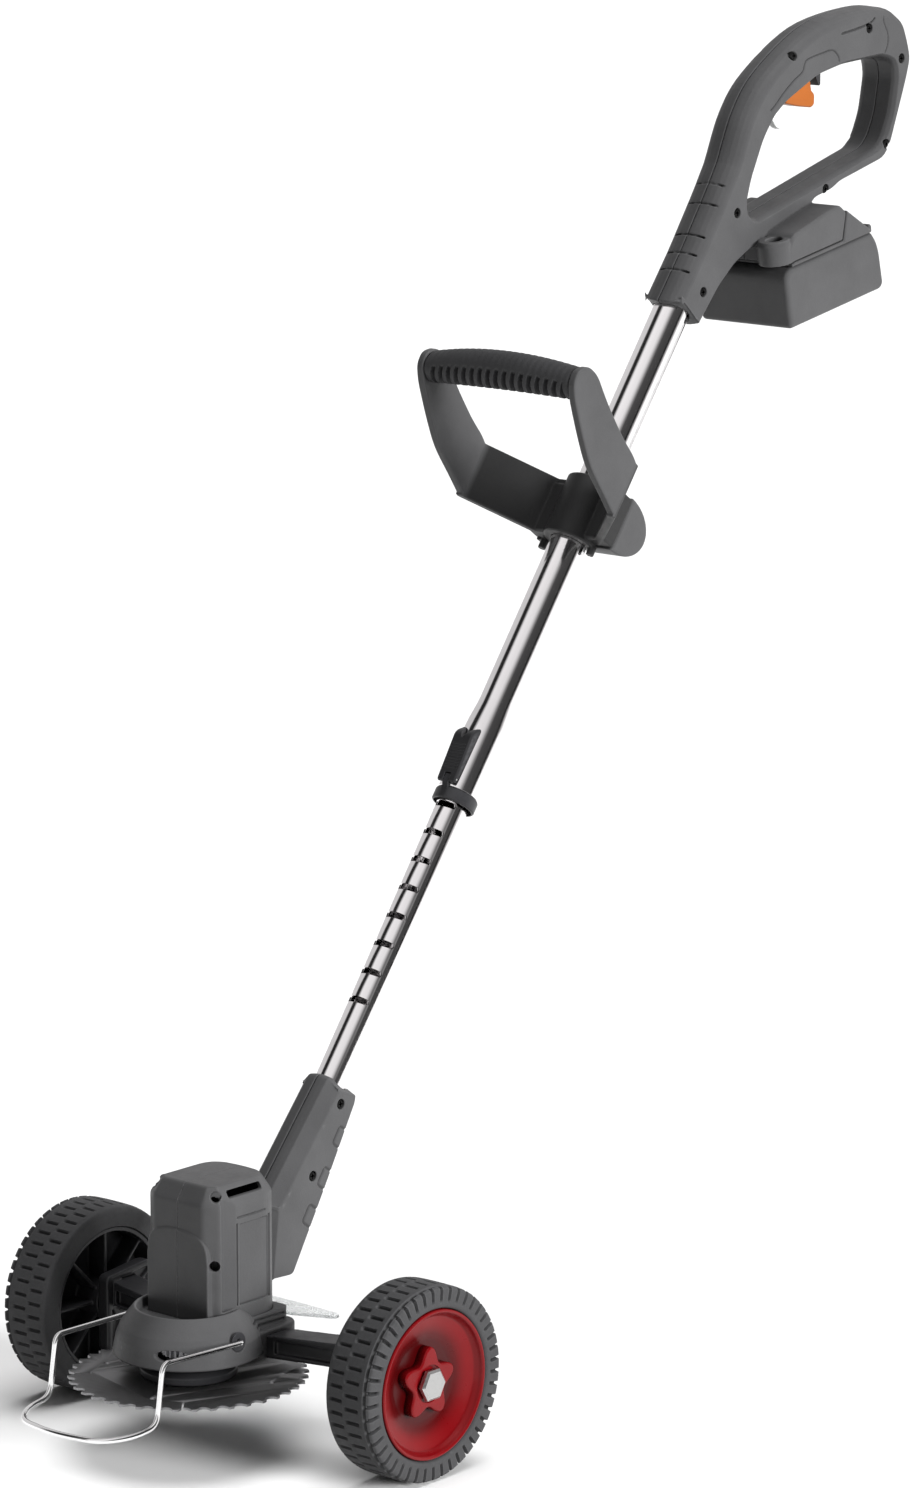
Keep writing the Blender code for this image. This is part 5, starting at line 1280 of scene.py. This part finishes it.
def wheel_bracket():
    plate = [(40.0, 34.0), (46.0, 28.0), (68.0, 28.0), (84.0, 46.0), (84.0, 84.0), (78.0, 87.0), (42.0, 83.0)]
    plate = corners(plate + [(40.0, 80.0)], [3, 5, 8, 8, 4, 3, 2, 2], 4)
    arm = slab("bracket_form", plate, 109.5, 119.0, edge=1.6)
    cut(arm, slab("bracket_dish", inset(plate, 4.0), 107.0, 112.0))
    hub = [(109.6, 10.2), (118.6, 10.2)]
    add(arm, turned("bracket_hub", hub, (0, WHEEL_Y, WHEEL_R), (1, 0, 0), 48))
    for tip in ((46.0, 80.0), (80.0, 80.0), (46.0, 34.0), (78.0, 46.0)):
        ring = [(WHEEL_Y, WHEEL_R - 1.1), (tip[0], tip[1] - 1.1), (tip[0], tip[1] + 1.1)]
        ring.append((WHEEL_Y, WHEEL_R + 1.1))
        add(arm, slab("bracket_rib", ring, 110.2, 114.0))
    near = [(38.3, y, z) for y, z in ((31.0, 61.2), (52.0, 61.2), (52.0, 76.0), (31.0, 76.0))]
    far = [(113.0, y, z) for y, z in ((46.0, 63.0), (68.0, 63.0), (68.0, 79.0), (46.0, 79.0))]
    add(arm, loft("bracket_bar", [near, far]))
    dish = []
    for x, rear in ((44.0, 0.9), (107.0, 15.0)):
        dish.append(at_x(box_yz(33.5 + rear, 64.6, 27.0 + rear, 73.4), x))
    cut(arm, loft("bar_dish", dish))
    cut(arm, axle_space("bracket_bore", 100, 130))
    soften(arm, 0.6, 2, 60000)
    pair(arm, "wheel_bracket", BLACK)


def window(value, middle, half, sharp):
    return max(0.0, 1.0 - (abs(value - middle) / half) ** sharp)


def tyre_relief(x, r, phase):
    """How deep the moulded pattern lies at this point of the tyre. phase runs 0 to 1 over a lug."""
    depth = 0.0
    if r > 60.8:
        row_a = window(x, WHEEL_IN + 9.5, 5.6, 8)
        row_b = window(x, WHEEL_IN + 22.5, 5.8, 8)
        depth = max(depth, 1.9 * row_a * window(phase, 0.5, 0.13, 4))
        shifted = (phase + 0.5) % 1.0
        depth = max(depth, 1.9 * row_b * window(shifted, 0.5, 0.13, 4))
        depth = max(depth, 1.6 * window(x, WHEEL_OUT - 3.9, 1.25, 4))
    if x > WHEEL_OUT - 3.0 and r > 52.4:
        reach = 1.0 - max(0.0, min(1.0, (53.6 - r) / 1.2))
        depth = max(depth, 2.3 * reach * window(phase, 0.5, 0.15, 4))
    return depth


def tyre():
    flat = [(WHEEL_IN, 48.2), (WHEEL_IN, 58.6), (WHEEL_IN + 1.2, 61.2), (WHEEL_IN + 4.5, 62.2)]
    flat += [(WHEEL_IN + 12, WHEEL_R), (WHEEL_OUT - 12, WHEEL_R), (WHEEL_OUT - 5, 62.3)]
    flat += [(WHEEL_OUT - 2.2, 62.0), (WHEEL_OUT - 0.5, 61.2), (WHEEL_OUT, 59.4), (WHEEL_OUT, 50.2)]
    flat += [(WHEEL_OUT - 0.9, 48.8), (WHEEL_OUT - 2.4, 48.2)]
    closed = corners(flat, [0.6, 2, 1, 2, 4, 4, 2, 1, 1, 1.2, 1, 0.8, 0.6], 3)
    fine = []
    for i, p in enumerate(closed):
        q = closed[(i + 1) % len(closed)]
        length = math.dist(p, q)
        outer = p[1] > 52 or q[1] > 52
        count = max(1, int(round(length / (0.75 if outer else 6.0))))
        for k in range(count):
            fine.append((p[0] + (q[0] - p[0]) * k / count, p[1] + (q[1] - p[1]) * k / count))
    normals = []
    for i in range(len(fine)):
        a = Vector(fine[i - 1])
        b = Vector(fine[(i + 1) % len(fine)])
        along = (b - a).normalized()
        normals.append((along.y, -along.x))
    segments = TREAD_LUGS * LUG_STEPS
    rings = []
    for j in range(segments):
        c, s = polar(1.0, 2 * math.pi * j / segments)
        phase = (j % LUG_STEPS) / LUG_STEPS
        ring = []
        for (x, r), (nx, nr) in zip(fine, normals):
            depth = tyre_relief(x, r, phase)
            radius = r + nr * depth
            ring.append((x + nx * depth, WHEEL_Y + radius * c, WHEEL_R + radius * s))
        rings.append(ring)
    pair(loft("tyre_form", rings, True, 60), "tyre", TREAD)


def wheel():
    centre = (0, WHEEL_Y, WHEEL_R)
    axis = (1, 0, 0)
    drum = 47.9
    profile = [(WHEEL_IN + 1, drum), (WHEEL_IN + 1, 45.0), (141.0, 45.0), (141.0, 13.0), (121.5, 13.0)]
    profile += [(121.5, AXLE_R + GAP), (144.0, AXLE_R + GAP), (144.0, drum)]
    core = turned("core_form", profile, centre, axis, 96, True)
    for k in range(8):
        c, s = polar(1.0, math.pi * k / 4)
        ring = []
        for along, across in ((12.0, -1.0), (45.6, -1.0), (45.6, 1.0), (12.0, 1.0)):
            ring.append((WHEEL_Y + along * c - across * s, WHEEL_R + along * s + across * c))
        add(core, slab("core_rib", ring, 126.0, 141.6))
    soften(core, 0.7, 2, 80000)
    pair(core, "wheel_core", BLACK)
    profile = [(144.3, AXLE_R + GAP), (144.3, 28.0), (150.5, 42.0), (150.5, drum), (157.4, drum)]
    profile += [(158.3, 47.3), (158.4, 46.4), (157.6, 45.4), (155.6, 44.6), (153.0, 42.9), (147.6, 29.0)]
    profile += [(146.9, 26.0), (146.9, AXLE_R + GAP)]
    rim = turned("rim_form", profile, centre, axis, 144, True, 0.9)
    pair(rim, "rim", RED)
    outline = []
    for i in range(120):
        angle = 2 * math.pi * i / 120
        lobe = (math.cos(5 * angle) + 1) / 2
        y, z = polar(15.2 + 8.3 * lobe ** 1.15, angle + 0.25)
        outline.append((WHEEL_Y + y, WHEEL_R + z))
    knob = slab("knob_form", outline, 147.3, 154.0, edge=1.6, steps=5, ends=(False, True))
    dish = [(152.9, 12.2), (156.0, 12.2)]
    cut(knob, turned("knob_dish", dish, centre, axis, 64))
    cut(knob, axle_space("knob_bore", 140, 170))
    pair(knob, "star_knob", RED)
    profile = [(104.0, 3.8), (105.2, AXLE_R), (155.5, AXLE_R)]
    bolt = turned("bolt_form", profile, centre, axis, 48)
    head = [(154.3, 10.4), (154.6, 11.0), (157.2, 11.0), (158.5, 9.3)]
    add(bolt, turned("bolt_head", head, centre, axis, 6, angle=20))
    pair(bolt, "axle_bolt", ZINC)


# ---------------------------------------------------------------- inner pieces kept from the CAD

def inner_pieces():
    kept = {
        "cell_pack": WRAP, "terminal_block": BLACK, "motor_can": MOTOR_STEEL, "motor_shaft": GEAR_STEEL,
        "blade_spindle": GEAR_STEEL, "spindle_bearing": BEARING,
    }
    for name, paint in kept.items():
        for slot in frame["nodes"][name].material_slots:
            slot.material = paint


# ---------------------------------------------------------------- studio

def studio_floor():
    bm = bmesh.new()
    rings = []
    for radius in (0.0005, 1.0, 3.0, 8.0, 20.0, 40.0):
        rings.append([bm.verts.new((*polar(radius, 2 * math.pi * k / 64), -0.0005)) for k in range(64)])
    for a, b in zip(rings, rings[1:]):
        for k in range(64):
            m = (k + 1) % 64
            bm.faces.new((a[k], b[k], b[m], a[m]))
    bm.faces.new(rings[0])
    floor = to_object("floor", bm)
    made, tree, shader, coord = start_material("pale_floor")
    tone = remap(tree, noise(tree, coord, 3.0, 4.0), 0.3, 0.7, 0.0, 1.0)
    tree.links.new(blend(tree, tone, (0.55, 0.55, 0.55), (0.57, 0.57, 0.57)), shader.inputs["Base Color"])
    shader.inputs["Roughness"].default_value = 0.9
    shader.inputs["Specular IOR Level"].default_value = 0.1
    floor.data.materials.append(made)


# angle round the pole in degrees, and how bright the surroundings are there
STRIPS = (
    (-180, 0.62), (-170, 0.45), (-150, 0.70), (-100, 0.62), (-54, 0.60), (-49, 0.03), (-27, 0.012),
    (-18, 0.55), (-12, 0.86), (8, 0.82), (26, 0.78), (37, 0.60), (48, 0.25), (58, 0.065), (80, 0.055),
    (97, 0.052), (101, 0.012), (108, 0.012), (115, 0.35), (124, 0.70), (131, 0.96), (160, 0.96),
    (172, 0.60), (180, 0.62),
)


def studio_world():
    """White surroundings with light and dark strips that run parallel to the pole."""
    world = bpy.data.worlds.new("studio")
    bpy.context.scene.world = world
    world.use_nodes = True
    tree = world.node_tree
    back = tree.nodes["Background"]
    way = tree.nodes.new("ShaderNodeTexCoord").outputs["Generated"]
    parts = []
    for axis in ((1.0, 0.0, 0.0), (0.0, -math.sin(LEAN), math.cos(LEAN))):
        dot = tree.nodes.new("ShaderNodeVectorMath")
        dot.operation = "DOT_PRODUCT"
        dot.inputs[1].default_value = axis
        tree.links.new(way, dot.inputs[0])
        parts.append(dot.outputs["Value"])
    turn = maths(tree, "ARCTAN2", parts[0], parts[1])
    ramp = tree.nodes.new("ShaderNodeValToRGB")
    tree.links.new(remap(tree, turn, -math.pi, math.pi, 0.0, 1.0), ramp.inputs["Fac"])
    stops = ramp.color_ramp.elements
    for i, (degrees, level) in enumerate(STRIPS):
        at = (degrees + 180.0) / 360.0
        stop = stops[i] if i < 2 else stops.new(at)
        stop.position = at
        stop.color = (level, level * 0.985, level * 0.99, 1.0)
    paths = tree.nodes.new("ShaderNodeLightPath")
    colour = blend(tree, paths.outputs["Is Glossy Ray"], (0.145, 0.145, 0.147), ramp.outputs["Color"])
    colour = blend(tree, paths.outputs["Is Camera Ray"], colour, (1.0, 1.0, 1.0))
    tree.links.new(colour, back.inputs["Color"])
    back.inputs["Strength"].default_value = 1.0


def sun(name, toward, strength, spread):
    """Distant soft light that comes from the direction toward."""
    data = bpy.data.lights.new(name, "SUN")
    data.energy = strength
    data.angle = math.radians(spread)
    lamp = bpy.data.objects.new(name, data)
    bpy.context.scene.collection.objects.link(lamp)
    lamp.rotation_mode = "QUATERNION"
    lamp.rotation_quaternion = Vector(toward).to_track_quat("Z", "Y")
    lamp.visible_glossy = False


CAMERA_AZIMUTH = math.radians(41.08)
CAMERA_ELEVATION = math.radians(11.62)
CAMERA_LENS = 148.7976
CAMERA_AT = (2569.6, -2688.8, 1219.4)


def camera():
    across, ahead = polar(math.cos(CAMERA_ELEVATION), CAMERA_AZIMUTH - math.pi / 2)
    back = Vector((across, ahead, math.sin(CAMERA_ELEVATION)))
    data = bpy.data.cameras.new("camera")
    data.sensor_width = 36.0
    data.lens = CAMERA_LENS
    data.clip_end = 100.0
    eye = bpy.data.objects.new("camera", data)
    bpy.context.scene.collection.objects.link(eye)
    eye.location = Vector(CAMERA_AT) * MM + SHIFT
    eye.rotation_mode = "QUATERNION"
    eye.rotation_quaternion = (-back).to_track_quat("-Z", "Y")
    bpy.context.scene.camera = eye


# ---------------------------------------------------------------- assembly

rear_handle()
switch_group()
battery()
pole()
pole_latch()
aux_handle()
neck()
housing()
skirt()
blade()
wire_guard()
rear_guard()
wheel_bracket()
tyre()
wheel()
inner_pieces()
studio_floor()
studio_world()
sun("key", (0.96, 0.02, 0.27), 8.8, 22)
sun("top", (0.05, 0.10, 1.0), 3.8, 45)
camera()
bpy.context.scene.view_settings.view_transform = "Standard"
